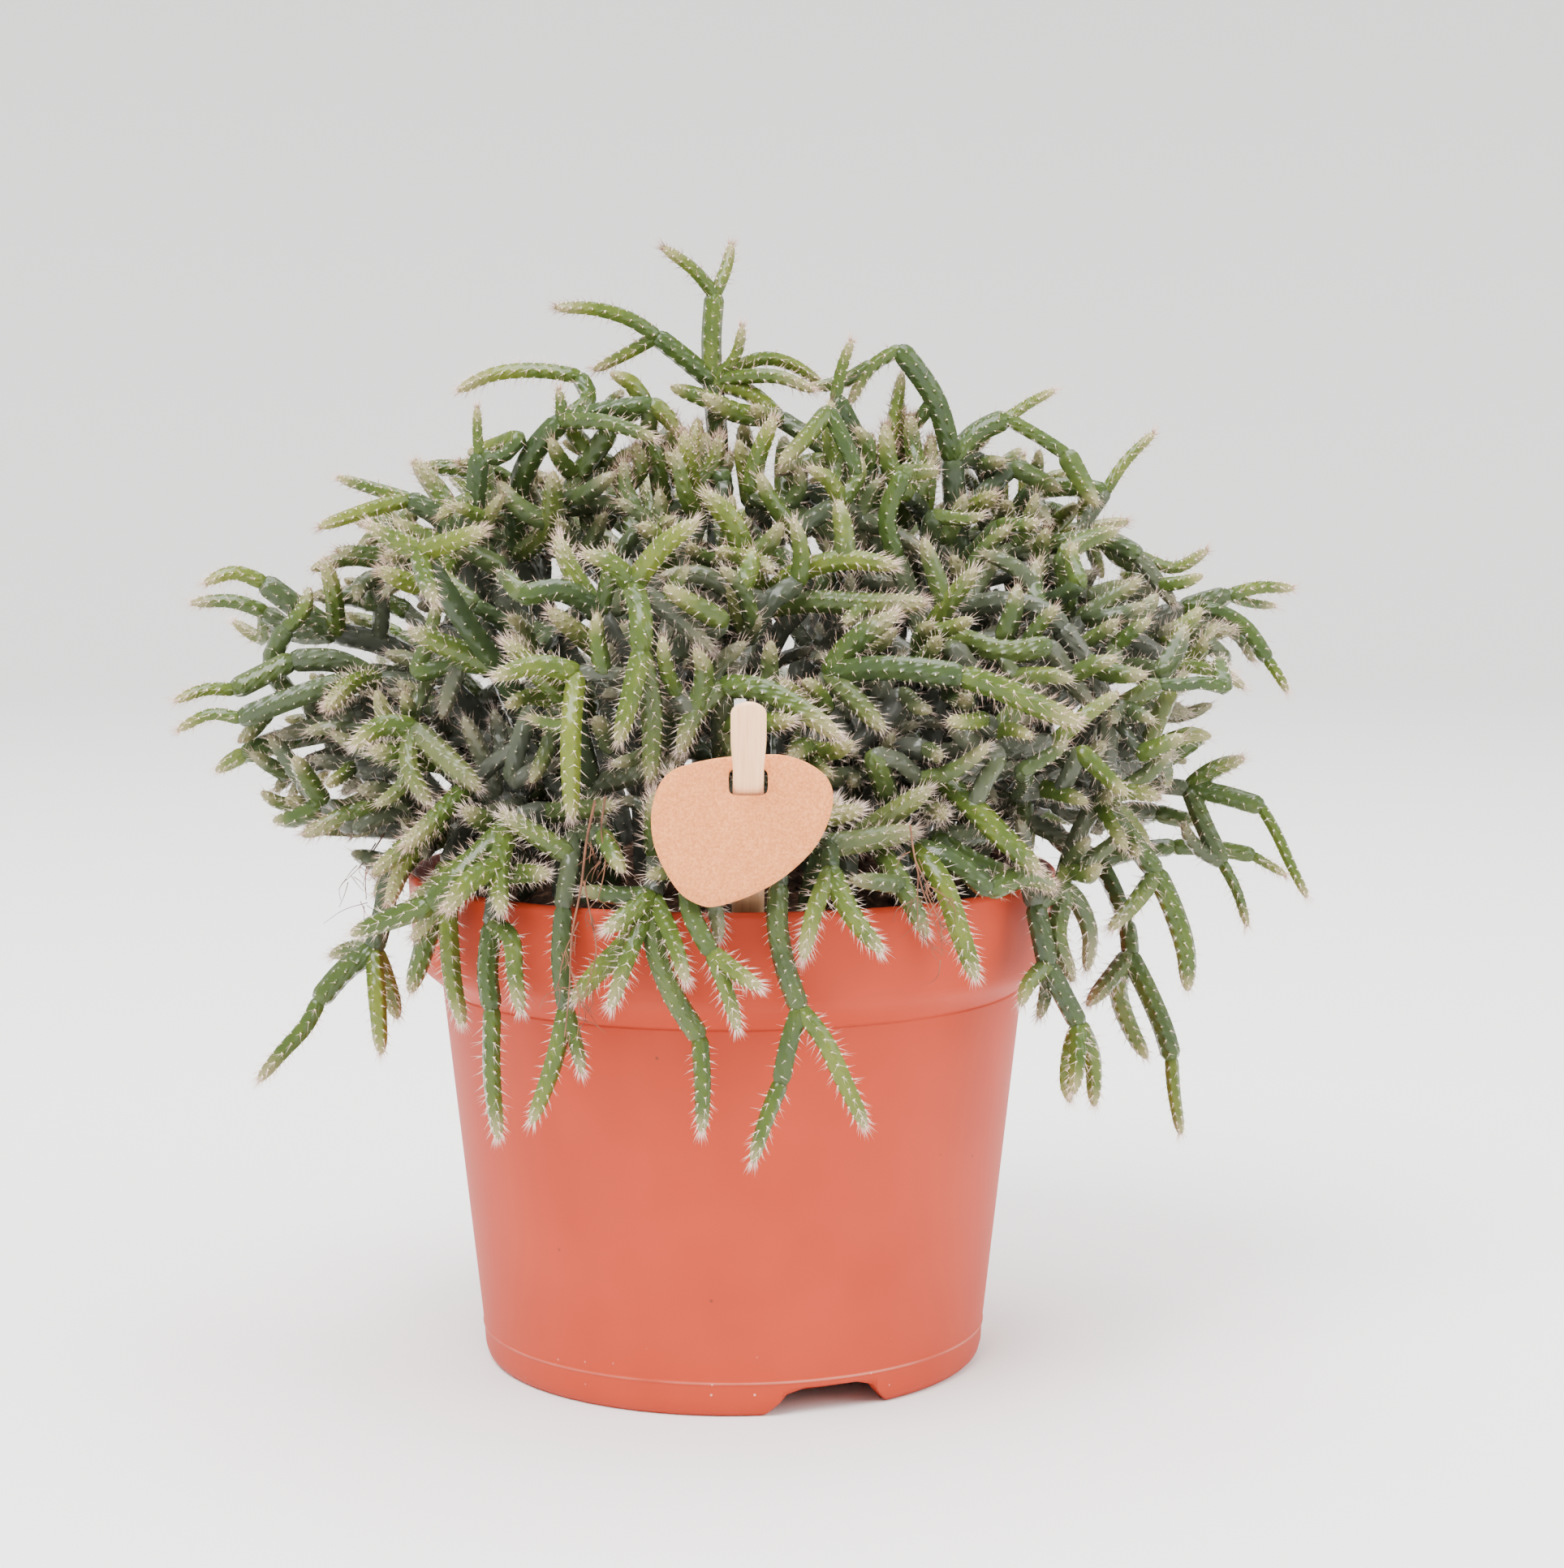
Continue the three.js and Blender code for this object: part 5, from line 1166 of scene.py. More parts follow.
# %% Dry roots
DRY_ROOTS = """
0.55 -26,104,-58 -27,97,-62.5 -28.5,89,-64 -30,79,-65 -31,69,-65.5 -31.5,60,-65
0.35 -28.5,90,-64 -26.5,83,-65 -26,76,-66 -27.5,69,-66
0.3 -29.5,82,-65 -32,76,-65 -32.5,70,-65.5
0.3 -30.5,74,-65 -29,67,-66 -29.5,62,-66
0.4 -24,106,-58 -24.5,99,-62 -24,93,-64 -25.5,86,-65
0.45 33,100,-56 34,95,-60 36,89,-62 38,83,-63
0.3 34.5,93,-61 37,89,-63 40.5,86,-64
0.3 35,91,-61 34,86,-63 35,80,-63.5
0.25 36.5,87,-62 39,81,-64 39.5,76,-64
0.35 -66,99,-12 -68.5,93,-15 -69,86,-17
0.3 -67,97,-13 -70,92.5,-16 -72.5,90,-18
"""


ROOT_HAIRS = {"each": 7, "width": 0.2, "sides": 4, "drop": (2, 5), "seed": 77}


def add_thread(heap, path, width, sides=5, step=0.9):
    """A slim tube along a smooth line, thinner towards its end."""
    length = np.linalg.norm(np.diff(path, axis=0), axis=1).sum()
    rows = max(4, int(length / step))
    share = np.linspace(0, 1, rows)
    line, _ = smooth_path(path, share)
    way = unit(np.gradient(line, axis=0))
    u = unit(np.cross(way, [0.3, 0.9, 0.31]))
    ring = circle(u, np.cross(way, u), full_turn(sides))
    dots = line[:, None] + ring * (width / 2 * (1 - 0.6 * share))[:, None, None]
    heap.add(np.vstack([dots.reshape(-1, 3), line[0], line[-1]]), tube_faces(rows, sides))


draw = np.random.default_rng(ROOT_HAIRS["seed"])
roots = Heap()
for line in DRY_ROOTS.strip().splitlines():
    width, *words = line.split()
    path = seen(words)
    add_thread(roots, path + draw.normal(size=path.shape) * 0.3, float(width))
    for _ in range(ROOT_HAIRS["each"]):
        spot = path[draw.integers(1, len(path))] + draw.normal(size=3) * 0.5
        drop = np.array([draw.normal() * 2.5, draw.normal() * 1.2, -draw.uniform(*ROOT_HAIRS["drop"])])
        hair = np.array([spot, spot + drop * 0.5 + draw.normal(size=3) * 0.6, spot + drop])
        add_thread(roots, hair, ROOT_HAIRS["width"], ROOT_HAIRS["sides"])
dry_roots = roots.piece("dry_roots", "potting_soil")
print("dry roots:", len(dry_roots.data.polygons), "triangles")
# %% [markdown]
# ## The pot
#
# The pot is turned about its axis from one closed profile, up the outside, over the rim and down the inside.
# Its corners are rounded by cutting each one with a small curve. The drain notches are made by raising points
# of that surface, with the angles set closer together at their slopes. The drain holes are drilled last.

# %% The pot's surface
NOTCH = {"count": 3, "first": math.radians(21.7 - 90), "from": 39.8}
NOTCH_HALF = [[5, 8.4, 9.5, 11.9], [5.1, 4.1, 2.6, 0]]  # half its outline: distances across and up
NOTCH_TURNS = NOTCH["first"] + full_turn(NOTCH["count"])
DRAIN = {"radius": 2.3, "on": 40.9, "from": 4.9, "to": 7.6, "sides": 24}
TURNED = {"angles": 100, "at_slope": 18, "slope_radius": 45.5, "apart": 0.0015, "span": 11, "corner": 4}
PROFILE = """
45.6,0,.25 46.7,.9,.8 47.2,2.8,.5 47.4,6,.6 47.65,6.35,.15 47.48,6.8,.2
54.55,70.9,.15 54.38,71.2,.12 54.6,71.5,.3
59.3,75.5,2 60,78.5,1.5 60.8,91.7,.35 60.2,92.5,.35
59.4,92.5,.35 58.8,78.9,1.2 57.9,76.5,1 53.4,72.4,2 46.3,6.8,1 38.4,6.8,.6 37.2,3.2,.6 .01,3.2,0
.01,2,0 38.4,2,.4 38.6,5.6,.3 43.2,5.6,.3 43.6,0,.25
"""


def rounded_profile(text):
    """Points of the profile, each corner replaced by four points of a curve that starts a given length
    before it and ends as far after it: (1-t)^2 start + 2t(1-t) corner + t^2 end."""
    corner = np.array([[float(number) for number in word.split(",")] for word in text.split()])
    rows = []
    for before, (r, z, cut), after in zip(np.roll(corner, 1, 0), corner, np.roll(corner, -1, 0)):
        here = np.array([r, z])
        to_before, to_after = before[:2] - here, after[:2] - here
        if cut == 0:
            rows.append(here[None])
            continue
        start = here + to_before * min(cut / np.linalg.norm(to_before), 0.45)
        end = here + to_after * min(cut / np.linalg.norm(to_after), 0.45)
        t = np.linspace(0, 1, TURNED["corner"])[:, None]
        rows.append((1 - t) ** 2 * start + 2 * t * (1 - t) * here + t ** 2 * end)
    return np.vstack(rows)


def pot_angles():
    """Angles round the pot: even ones, and close ones over the slopes at both sides of each notch."""
    slope = np.linspace(NOTCH_HALF[0][0] - 1, NOTCH_HALF[0][-1] + 1, TURNED["at_slope"])
    slope = slope / TURNED["slope_radius"]
    close = (NOTCH_TURNS[:, None] + np.concatenate([-slope, slope])).ravel()
    every = np.sort(np.concatenate([full_turn(TURNED["angles"]), close % (2 * math.pi)]))
    return every[np.concatenate([[True], np.diff(every) > TURNED["apart"]])]


def make_pot():
    """The turned surface, its long spans cut into shorter ones, with its notches raised from below."""
    profile = rounded_profile(PROFILE)
    spans = []
    for here, after in zip(profile, np.roll(profile, -1, 0)):
        parts = max(1, int(np.linalg.norm(after - here) / TURNED["span"]))
        spans.append(here + (after - here) * np.arange(parts)[:, None] / parts)
    radius, height = np.vstack(spans).T
    angle = pot_angles()
    x, y = radius[:, None] * np.cos(angle), radius[:, None] * np.sin(angle)
    z = np.repeat(height[:, None], len(angle), 1)
    for turn in NOTCH_TURNS:
        across = np.abs(-math.sin(turn) * x + math.cos(turn) * y)
        ahead = math.cos(turn) * x + math.sin(turn) * y > 0
        top = np.interp(across, *NOTCH_HALF)
        z = np.where(ahead & (radius[:, None] > NOTCH["from"]) & (z < top), top, z)
    dots = np.stack([x, y, z], -1).reshape(-1, 3)
    return make_piece("moulded_pot", dots, ring_faces(*z.shape), ["pot"])
def drill_drain_holes(pot):
    """Cuts a round hole through the channel of the foot in line with each notch: the exact difference of the
    pot and one mesh that holds a cylinder for each hole."""
    sides, low, high = DRAIN["sides"], DRAIN["from"], DRAIN["to"]
    drills = Heap()
    for turn in NOTCH_TURNS:
        x = DRAIN["on"] * math.cos(turn) + DRAIN["radius"] * np.cos(full_turn(sides))
        y = DRAIN["on"] * math.sin(turn) + DRAIN["radius"] * np.sin(full_turn(sides))
        rings = np.stack([np.tile(x, 2), np.tile(y, 2), np.repeat([low, high], sides)], -1)
        ends = [[x.mean(), y.mean(), z] for z in (low, high)]
        drills.add(np.vstack([rings, ends]), tube_faces(2, sides))
    mesh = bpy.data.meshes.new("drills")
    mesh.from_pydata(((np.vstack(drills.dots) + AXIS) * MM).tolist(), [], np.vstack(drills.faces).tolist())
    tool = bpy.data.objects.new("drills", mesh)
    bpy.context.scene.collection.objects.link(tool)
    cut = pot.modifiers.new("holes", "BOOLEAN")
    cut.operation, cut.solver, cut.object = "DIFFERENCE", "EXACT", tool
    pot.modifiers.new("triangles", "TRIANGULATE")
    pierced = bpy.data.meshes.new_from_object(pot.evaluated_get(bpy.context.evaluated_depsgraph_get()))
    pot.modifiers.clear()
    pierced.name, pot.data = "moulded_pot", pierced
    bpy.data.objects.remove(tool)


pot = make_pot()
drill_drain_holes(pot)
print("the pot has", len(pot.data.polygons), "triangles")

# %% [markdown]
# ## The soil
#
# The soil's surface is a grid of rings with small lumps, closed from below. Crumbs of peat and short
# fibres lie on it.

# %% The soil
LUMPS = {"waves": 9, "turn": 2.4, "first": 5.2, "shrink": 0.8, "steep": 0.07, "shift": 1.7}


def lumps(x, y):
    """Lumps of a few millimetres: a sum of waves in several directions, each 0.8 times as long and as high as
    the last."""
    total = np.zeros_like(x)
    for k in range(LUMPS["waves"]):
        turn, size = LUMPS["turn"] * k, LUMPS["first"] * LUMPS["shrink"] ** k
        along = x * math.cos(turn) + y * math.sin(turn)
        total += size * LUMPS["steep"] * np.sin(along * 2 * math.pi / size + LUMPS["shift"] * k)
    return total


# The soil's body: the rings of its top, the radius of the pot's inner wall at some heights, and the heights
# of the rings down its side.
PEAT = {"columns": 130, "rings": 50, "middle": 0.6, "floor_ring": 20, "smooth_from": 57.8, "smooth_over": 3,
        "wall_z": [6.9, 72, 76, 79, 92], "wall_r": [46.2, 53.3, 57.5, 58.5, 59.1],
        "side_z": [82.0, 79, 76, 72, 40, 6.9], "seed": 1203}
CRUMBS = {"tried": 620, "within": 56, "size": (0.3, 1.1), "varies": (0.6, 1), "flat": (1, 0.8, 0.6),
          "up": 0.3}
FIBRES = {"tried": 170, "from": 55, "within": 57, "length": (2, 7), "width": (0.2, 0.45), "bent": 0.35}
OCTAHEDRON = np.array([[0, 2, 4], [2, 1, 4], [1, 3, 4], [3, 0, 4],
                       [2, 0, 5], [1, 2, 5], [3, 1, 5], [0, 3, 5]])


def soil_body():
    """Points and faces: rings of the lumpy top from the middle out, then of the side and the flat floor."""
    columns = PEAT["columns"]
    side_z, floor_z = PEAT["side_z"], PEAT["side_z"][-1]
    edge, *side = np.interp([SOIL["edge_z"], *side_z], PEAT["wall_z"], PEAT["wall_r"])
    top = np.linspace(PEAT["middle"], edge, PEAT["rings"])
    radius = np.concatenate([top, side, [PEAT["floor_ring"], PEAT["middle"]]])[:, None]
    x, y = radius * np.cos(full_turn(columns)), radius * np.sin(full_turn(columns))
    rough = np.clip((PEAT["smooth_from"] - top) / PEAT["smooth_over"], 0, 1)[:, None]
    top_x, top_y = x[:len(top)], y[:len(top)]
    low_z = np.repeat(np.array([*side_z, floor_z, floor_z])[:, None], columns, 1)
    z = np.vstack([soil_height(top_x, top_y) + lumps(top_x, top_y) * rough, low_z])
    dots = np.stack([x, y, z], -1).reshape(-1, 3)
    return np.vstack([dots, [0, 0, z[0].mean()], [0, 0, floor_z]]), tube_faces(len(x), columns)[:, ::-1]


def add_crumbs(heap, draw):
    """Crumbs of peat: flattened octahedra that are turned at random."""
    spot = draw.uniform(-CRUMBS["within"], CRUMBS["within"], (CRUMBS["tried"], 2))
    spot = spot[np.hypot(*spot.T) < CRUMBS["within"]]
    count = len(spot)
    size = draw.uniform(*CRUMBS["size"], (count, 1)) * draw.uniform(*CRUMBS["varies"], (count, 1))
    z = soil_height(*spot.T) + lumps(*spot.T)
    middle = np.column_stack([spot, z + CRUMBS["up"] * size[:, 0]])
    u = unit(draw.normal(size=(count, 3)))
    v = unit(np.cross(u, draw.normal(size=(count, 3))))
    axes = [flat * axis for flat, axis in zip(CRUMBS["flat"], (u, v, np.cross(u, v)))]
    corners = np.stack([middle + size * side * axis for axis in axes for side in (1, -1)], 1)
    faces = OCTAHEDRON + 6 * np.arange(count)[:, None, None]
    heap.add(corners.reshape(-1, 3), faces.reshape(-1, 3))


def add_fibres(heap, draw):
    """Short fibres that lie on the soil."""
    for _ in range(FIBRES["tried"]):
        radius, turn = FIBRES["from"] * math.sqrt(draw.uniform()), draw.uniform(0, 2 * math.pi)
        heading, length = draw.uniform(0, 2 * math.pi), draw.uniform(*FIBRES["length"])
        along = np.linspace(-0.5, 0.5, 4) * length
        x = radius * math.cos(turn) + along * math.cos(heading)
        y = radius * math.sin(turn) + along * math.sin(heading)
        if (np.hypot(x, y) < FIBRES["within"]).all():
            path = np.column_stack([x, y, soil_height(x, y) + lumps(x, y) + FIBRES["bent"]])
            path += draw.normal(size=path.shape) * FIBRES["bent"]
            add_thread(heap, path, draw.uniform(*FIBRES["width"]), 4, 1.5)


def make_soil():
    """The soil with its crumbs and fibres."""
    heap, draw = Heap(), np.random.default_rng(PEAT["seed"])
    heap.add(*soil_body())
    add_crumbs(heap, draw)
    add_fibres(heap, draw)
    return heap.piece("peat_soil", "potting_soil", ["soil"])
soil = make_soil()
print("the soil has", len(soil.data.polygons), "triangles")

# %% [markdown]
# ## The tag
#
# The card's outline is a closed smooth curve through points measured from the middle of its slot, and the
# slot is a rounded rectangle. Rings run between the two on the front, over a slightly rounded edge, and back
# on the other side.

# %% The card and its stick
CARD = {"thickness": 1.0, "slot_width": 6.5, "slot_height": 4.5, "slot_power": 5, "edge": 0.18, "parts": 12}
CARD_OUTLINE = """
-16.2,-6.1 -15.5,-2.1 -13.7,1.1 -10.6,2.8 -4.4,4.1 3.2,4.6 6.7,4.3 10.2,3 13,.8 14.1,-2.1
13.5,-6.1 11.4,-10.5 8,-14.2 4,-17.2 -.8,-19.5 -5.7,-20.9 -8.4,-20.5 -11.3,-18.7 -13.9,-14.9 -15.7,-10.5
"""


def closed_curve(dots, parts):
    """A closed curve through points: between two of them, the blend of both with half the slopes of their
    neighbours."""
    t = (np.arange(parts) / parts)[None, :, None]
    p0, p1, p2, p3 = (np.roll(dots, shift, 0)[:, None] for shift in (1, 0, -1, -2))
    curve = 2 * p1 + (p2 - p0) * t + (2 * p0 - 5 * p1 + 4 * p2 - p3) * t ** 2
    curve = curve + (3 * p1 - p0 - 3 * p2 + p3) * t ** 3
    return (curve / 2).reshape(-1, 2)


def make_card():
    """Rings from the slot to the outline on the front and back again on the other side. The slot is the curve
    |x / half width|^5 + |y / half height|^5 = 1."""
    dots = np.array([[float(number) for number in word.split(",")] for word in CARD_OUTLINE.split()])
    outline = closed_curve(dots, CARD["parts"])
    ray = unit(outline)
    half = np.array([CARD["slot_width"], CARD["slot_height"]]) / 2
    slot = ray * ((np.abs(ray / half) ** CARD["slot_power"]).sum(1) ** (-1 / CARD["slot_power"]))[:, None]
    edge, thick = CARD["edge"], CARD["thickness"] / 2
    onward_x, onward_y = (np.roll(outline, -1, 0) - np.roll(outline, 1, 0)).T
    inner = outline - unit(np.stack([-onward_y, onward_x], -1)) * edge
    rings = [(slot, -thick + edge), (slot + ray * edge, -thick)]
    rings += [(slot * (1 - t) + inner * t, -thick) for t in (0.3, 0.6, 0.85, 1)]
    rings += [(outline, -thick + edge), (outline, thick - edge)]
    rings += [(slot * (1 - t) + inner * t, thick) for t in (1, 0.6, 0.3)]
    rings += [(slot + ray * edge, thick), (slot, thick - edge)]
    flat = np.array([np.column_stack([ring[:, 0] + SLOT["x"], np.full(len(ring), SLOT["y"] + depth),
                                      ring[:, 1] + SLOT["z"]]) for ring, depth in rings])
    faces = ring_faces(*flat.shape[:2])
    return make_piece("kraft_tag", flat.reshape(-1, 3), faces, ["tag_card"])


# The stick's waist: how wide it is at some lengths past the slot.
WAIST = {"at": (-6, -2, 4, 9), "share": (1, 0.92, 0.92, 1.05)}
ROD = {"sides": 28, "rings": 40, "top_rings": 10, "power": 4, "least": 0.004, "thins": 0.6}


def make_stick():
    """A flat stick with a round top, a waist at the slot and rounded edges: rings of the curve
    |x / half width|^4 + |y / half thickness|^4 = 1."""
    sides, power, lean = ROD["sides"], ROD["power"], STICK["lean"]
    angle = 2 * math.pi * (np.arange(sides) + 0.5) / sides
    half_w, half_t = STICK["width"] / 2, STICK["thickness"] / 2
    reach_w, reach_t = np.abs(np.cos(angle) / half_w), np.abs(np.sin(angle) / half_t)
    far = (reach_w ** power + reach_t ** power) ** (-1 / power)
    round_top = 1 - np.sin(np.linspace(0.1, 0.98 * math.pi / 2, ROD["top_rings"]))
    s = np.concatenate([np.linspace(-STICK["below"], STICK["above"] - half_w, ROD["rings"]),
                        STICK["above"] - half_w * round_top])
    past = np.clip((s - STICK["above"] + half_w) / half_w, 0, 1)
    narrow = np.sqrt(np.maximum(1 - past ** 2, ROD["least"]))
    across = far * np.cos(angle) * (narrow * np.interp(s, WAIST["at"], WAIST["share"]))[:, None]
    depth = far * np.sin(angle) * np.sqrt(narrow)[:, None] ** ROD["thins"]
    along = np.repeat(s[:, None], sides, 1)
    dots = np.stack([SLOT["x"] + across, SLOT["y"] - along * math.sin(lean) + depth * math.cos(lean),
                     SLOT["z"] + along * math.cos(lean) + depth * math.sin(lean)], -1)
    return make_piece("wooden_stick", np.vstack([dots.reshape(-1, 3), dots[0].mean(0), dots[-1].mean(0)]),
                      tube_faces(len(s), sides), ["tag_stick"])
card, stick = make_card(), make_stick()
print("card and stick:", len(card.data.polygons), "and", len(stick.data.polygons), "triangles")

# %% [markdown]
# ## Which way the faces look
#
# The volume inside a closed mesh is a sum over its triangles, and it is negative where they look inwards. So
# it has to be positive for each piece.
# %% Faces outward
def volume(mesh):
    """The volume inside a closed mesh: a sixth of the sum of a . (b x c) over its triangles a, b, c."""
    co = np.empty(len(mesh.vertices) * 3, np.float32)
    mesh.vertices.foreach_get("co", co)
    corner = np.empty(len(mesh.loops), np.int32)
    mesh.loops.foreach_get("vertex_index", corner)
    a, b, c = (co.reshape(-1, 3)[corner.reshape(-1, 3)[:, k]].astype(float) for k in range(3))
    return (a * np.cross(b, c)).sum() / 6


pieces = (pot, soil, card, stick, dry_roots, *spray_skins, *spray_wools)
print("pieces whose faces look inwards:", sum(volume(piece.data) < 0 for piece in pieces))
print("the pot takes", round(volume(pot.data) * 1e6, 1), "and the soil", round(volume(soil.data) * 1e6),
      "cubic centimetres")
# %% [markdown]
# ## Materials
#
# Every finish is a node tree made by one function. The patterns are laid out in millimetres, so that a pore
# or a fibre has its true size. The numbers that the meshes carry, such as a stem's age, steer the colours.

# %% Node trees
def srgb(code):
    """A linear colour with alpha from a hex code: c / 12.92 where c is dark, else
    ((c + 0.055) / 1.055) ^ 2.4."""
    parts = (int(code[k:k + 2], 16) / 255 for k in (0, 2, 4))
    return (*(c / 12.92 if c <= 0.04045 else ((c + 0.055) / 1.055) ** 2.4 for c in parts), 1.0)


def feed(node, **inputs):
    """Gives inputs of a node a number, a colour or another node's output. A key is an input's name, with _
    for a space, or i and its number."""
    for key, value in inputs.items():
        socket = node.inputs[int(key[1:])] if key[1:].isdigit() else node.inputs[key.replace("_", " ")]
        if isinstance(value, bpy.types.NodeSocket):
            node.id_data.links.new(value, socket)
        else:
            socket.default_value = value


def new_material(name, **constants):
    """A material, its shader with those constants, and a function that adds nodes to its tree."""
    material = bpy.data.materials.new(name)
    material.use_nodes = True
    tree = material.node_tree
    feed(tree.nodes["Principled BSDF"], **constants)

    def add(kind, settings=None, out=0, **inputs):
        """Adds a node and gives one of its outputs. Settings are the node's own properties, and the one
        called stops holds the marks of a colour ramp: places from 0 to 1 and hex codes."""
        node = tree.nodes.new("ShaderNode" + kind)
        for key, value in (settings or {}).items():
            if key != "stops":
                setattr(node, key, value)
                continue
            marks = node.color_ramp.elements
            while len(marks) < len(value):
                marks.new(0.5)
            for mark, (position, code) in zip(marks, value):
                mark.position, mark.color = position, srgb(code)
        feed(node, **inputs)
        return node.outputs[out]

    return material, tree.nodes["Principled BSDF"], add
# %% [markdown]
# ### The cactus
#
# The skin is living tissue with a thin wax: young ends are yellowish green, old stems bluish and darker. The
# wax makes the gloss soft and a little pale. Wool and bristles are dry dead fibres, cream to tan, without any
# gloss of their own; their tan inside the bush and higher up is partly painted shade. Deep inside the bush,
# skin, wool and bristles all turn towards a warm dark grey: painted shade.

# %% Skin, wool and bristles
SKIN_COLOURS = ((0.0, "626B29"), (0.35, "455420"), (0.65, "394920"), (1.0, "303E24"))
TIP_COLOUR, SHADE_COLOUR, WOOL_COLOUR = "B3A47A", "504C4C", "EFE0C2"
BRISTLE_COLOURS = ((0.0, "FFE6D6"), (0.4, "E6C6B2"), (0.75, "BE9882"), (1.0, "8E6F60"))


def with_painted_shade(add, colour):
    """Painted shade: a colour that turns towards a warm dark grey with the depth inside the bush, where the
    outer stems keep the light off."""
    deep = add("Attribute", {"attribute_name": "deep"}, "Fac")
    share = add("Math", {"operation": "MULTIPLY"}, i0=deep, i1=0.62)
    return add("Mix", {"data_type": "RGBA"}, 2, i0=share, i6=colour, i7=srgb(SHADE_COLOUR))


def cactus_skin():
    """Waxy living skin: the colour follows the age, with blotches of 6 mm. A flat bump stands under each
    areole: it is a half plus half of cos(2 pi steps) wave - sin(2 pi steps) cross wave, which peaks at whole
    steps, times the square of the wave, which peaks on the ribs."""
    material, shader, add = new_material("cactus_skin", Roughness=0.2, IOR=1.4, Specular_IOR_Level=0.35)
    steps, wave, cross_wave, age, tip = (add("Attribute", {"attribute_name": name}, "Fac")
                                         for name in ("steps", "wave", "cross_wave", "age", "tip"))
    blotch = add("TexNoise", Vector=add("TexCoord", out="Object"), Scale=1 / 0.006, Detail=3.0)
    shifted = add("MapRange", Value=blotch, i1=0.3, i2=0.7, i3=-0.2, i4=0.2)
    turn = add("Math", {"operation": "MULTIPLY"}, i0=steps, i1=2 * math.pi)
    cosine, sine = (add("Math", {"operation": name}, i0=turn) for name in ("COSINE", "SINE"))
    one = add("Math", {"operation": "MULTIPLY"}, i0=cosine, i1=wave)
    other = add("Math", {"operation": "MULTIPLY"}, i0=sine, i1=cross_wave)
    along = add("Math", {"operation": "SUBTRACT"}, i0=one, i1=other)
    half = add("Math", {"operation": "MULTIPLY_ADD"}, i0=along, i1=0.5, i2=0.5)
    crest = add("Math", {"operation": "MULTIPLY"}, i0=wave, i1=wave)
    bumps = add("Math", {"operation": "MULTIPLY"}, i0=half, i1=crest)
    lifted = add("Math", {"operation": "MULTIPLY_ADD"}, i0=bumps, i1=-0.25, i2=shifted)
    value = add("Math", {"operation": "ADD"}, i0=age, i1=lifted)
    grown = add("ValToRGB", {"stops": SKIN_COLOURS}, i0=value)
    end = add("Math", {"operation": "MULTIPLY"}, i0=tip, i1=0.6)
    colour = add("Mix", {"data_type": "RGBA"}, 2, i0=end, i6=grown, i7=srgb(TIP_COLOUR))
    normal = add("Bump", Strength=0.8, Distance=0.0004, Height=bumps)
    # The skin's colour gets painted shade deep inside the bush.
    feed(shader, Base_Color=with_painted_shade(add, colour), Normal=normal)
    return material


def cactus_wool():
    """Cream wool on the areoles and pale bristles that are tan on some stems. Their tan inside the bush and
    higher up is partly their own colour and partly painted shade.
    """
    material, shader, add = new_material("cactus_wool", Roughness=0.75, IOR=1.4)
    tan, wool = (add("Attribute", {"attribute_name": name}, "Fac") for name in ("tan", "wool"))
    bristle = add("ValToRGB", {"stops": BRISTLE_COLOURS}, i0=tan)
    colour = add("Mix", {"data_type": "RGBA"}, 2, i0=wool, i6=bristle, i7=srgb(WOOL_COLOUR))
    # Wool and bristles get the same painted shade deep inside the bush.
    feed(shader, Base_Color=with_painted_shade(add, colour))
    return material


def dry_root_fibre():
    """Dry root hairs: reddish brown and matt."""
    material, shader, add = new_material("dry_root_fibre", Roughness=0.85)
    tone = add("TexNoise", Vector=add("TexCoord", out="Object"), Scale=1 / 0.004)
    feed(shader, Base_Color=add("ValToRGB", {"stops": ((0.3, "4A2A1D"), (0.7, "8A5B40"))}, i0=tone))
    return material
# %% [markdown]
# ### Pot, soil and tag
#
# The pot is injection-moulded polypropylene, coloured through, with a satin mould texture. The soil is peat,
# which swallows nearly all light. The tag is uncoated kraft board, and its stick is bare split wood.

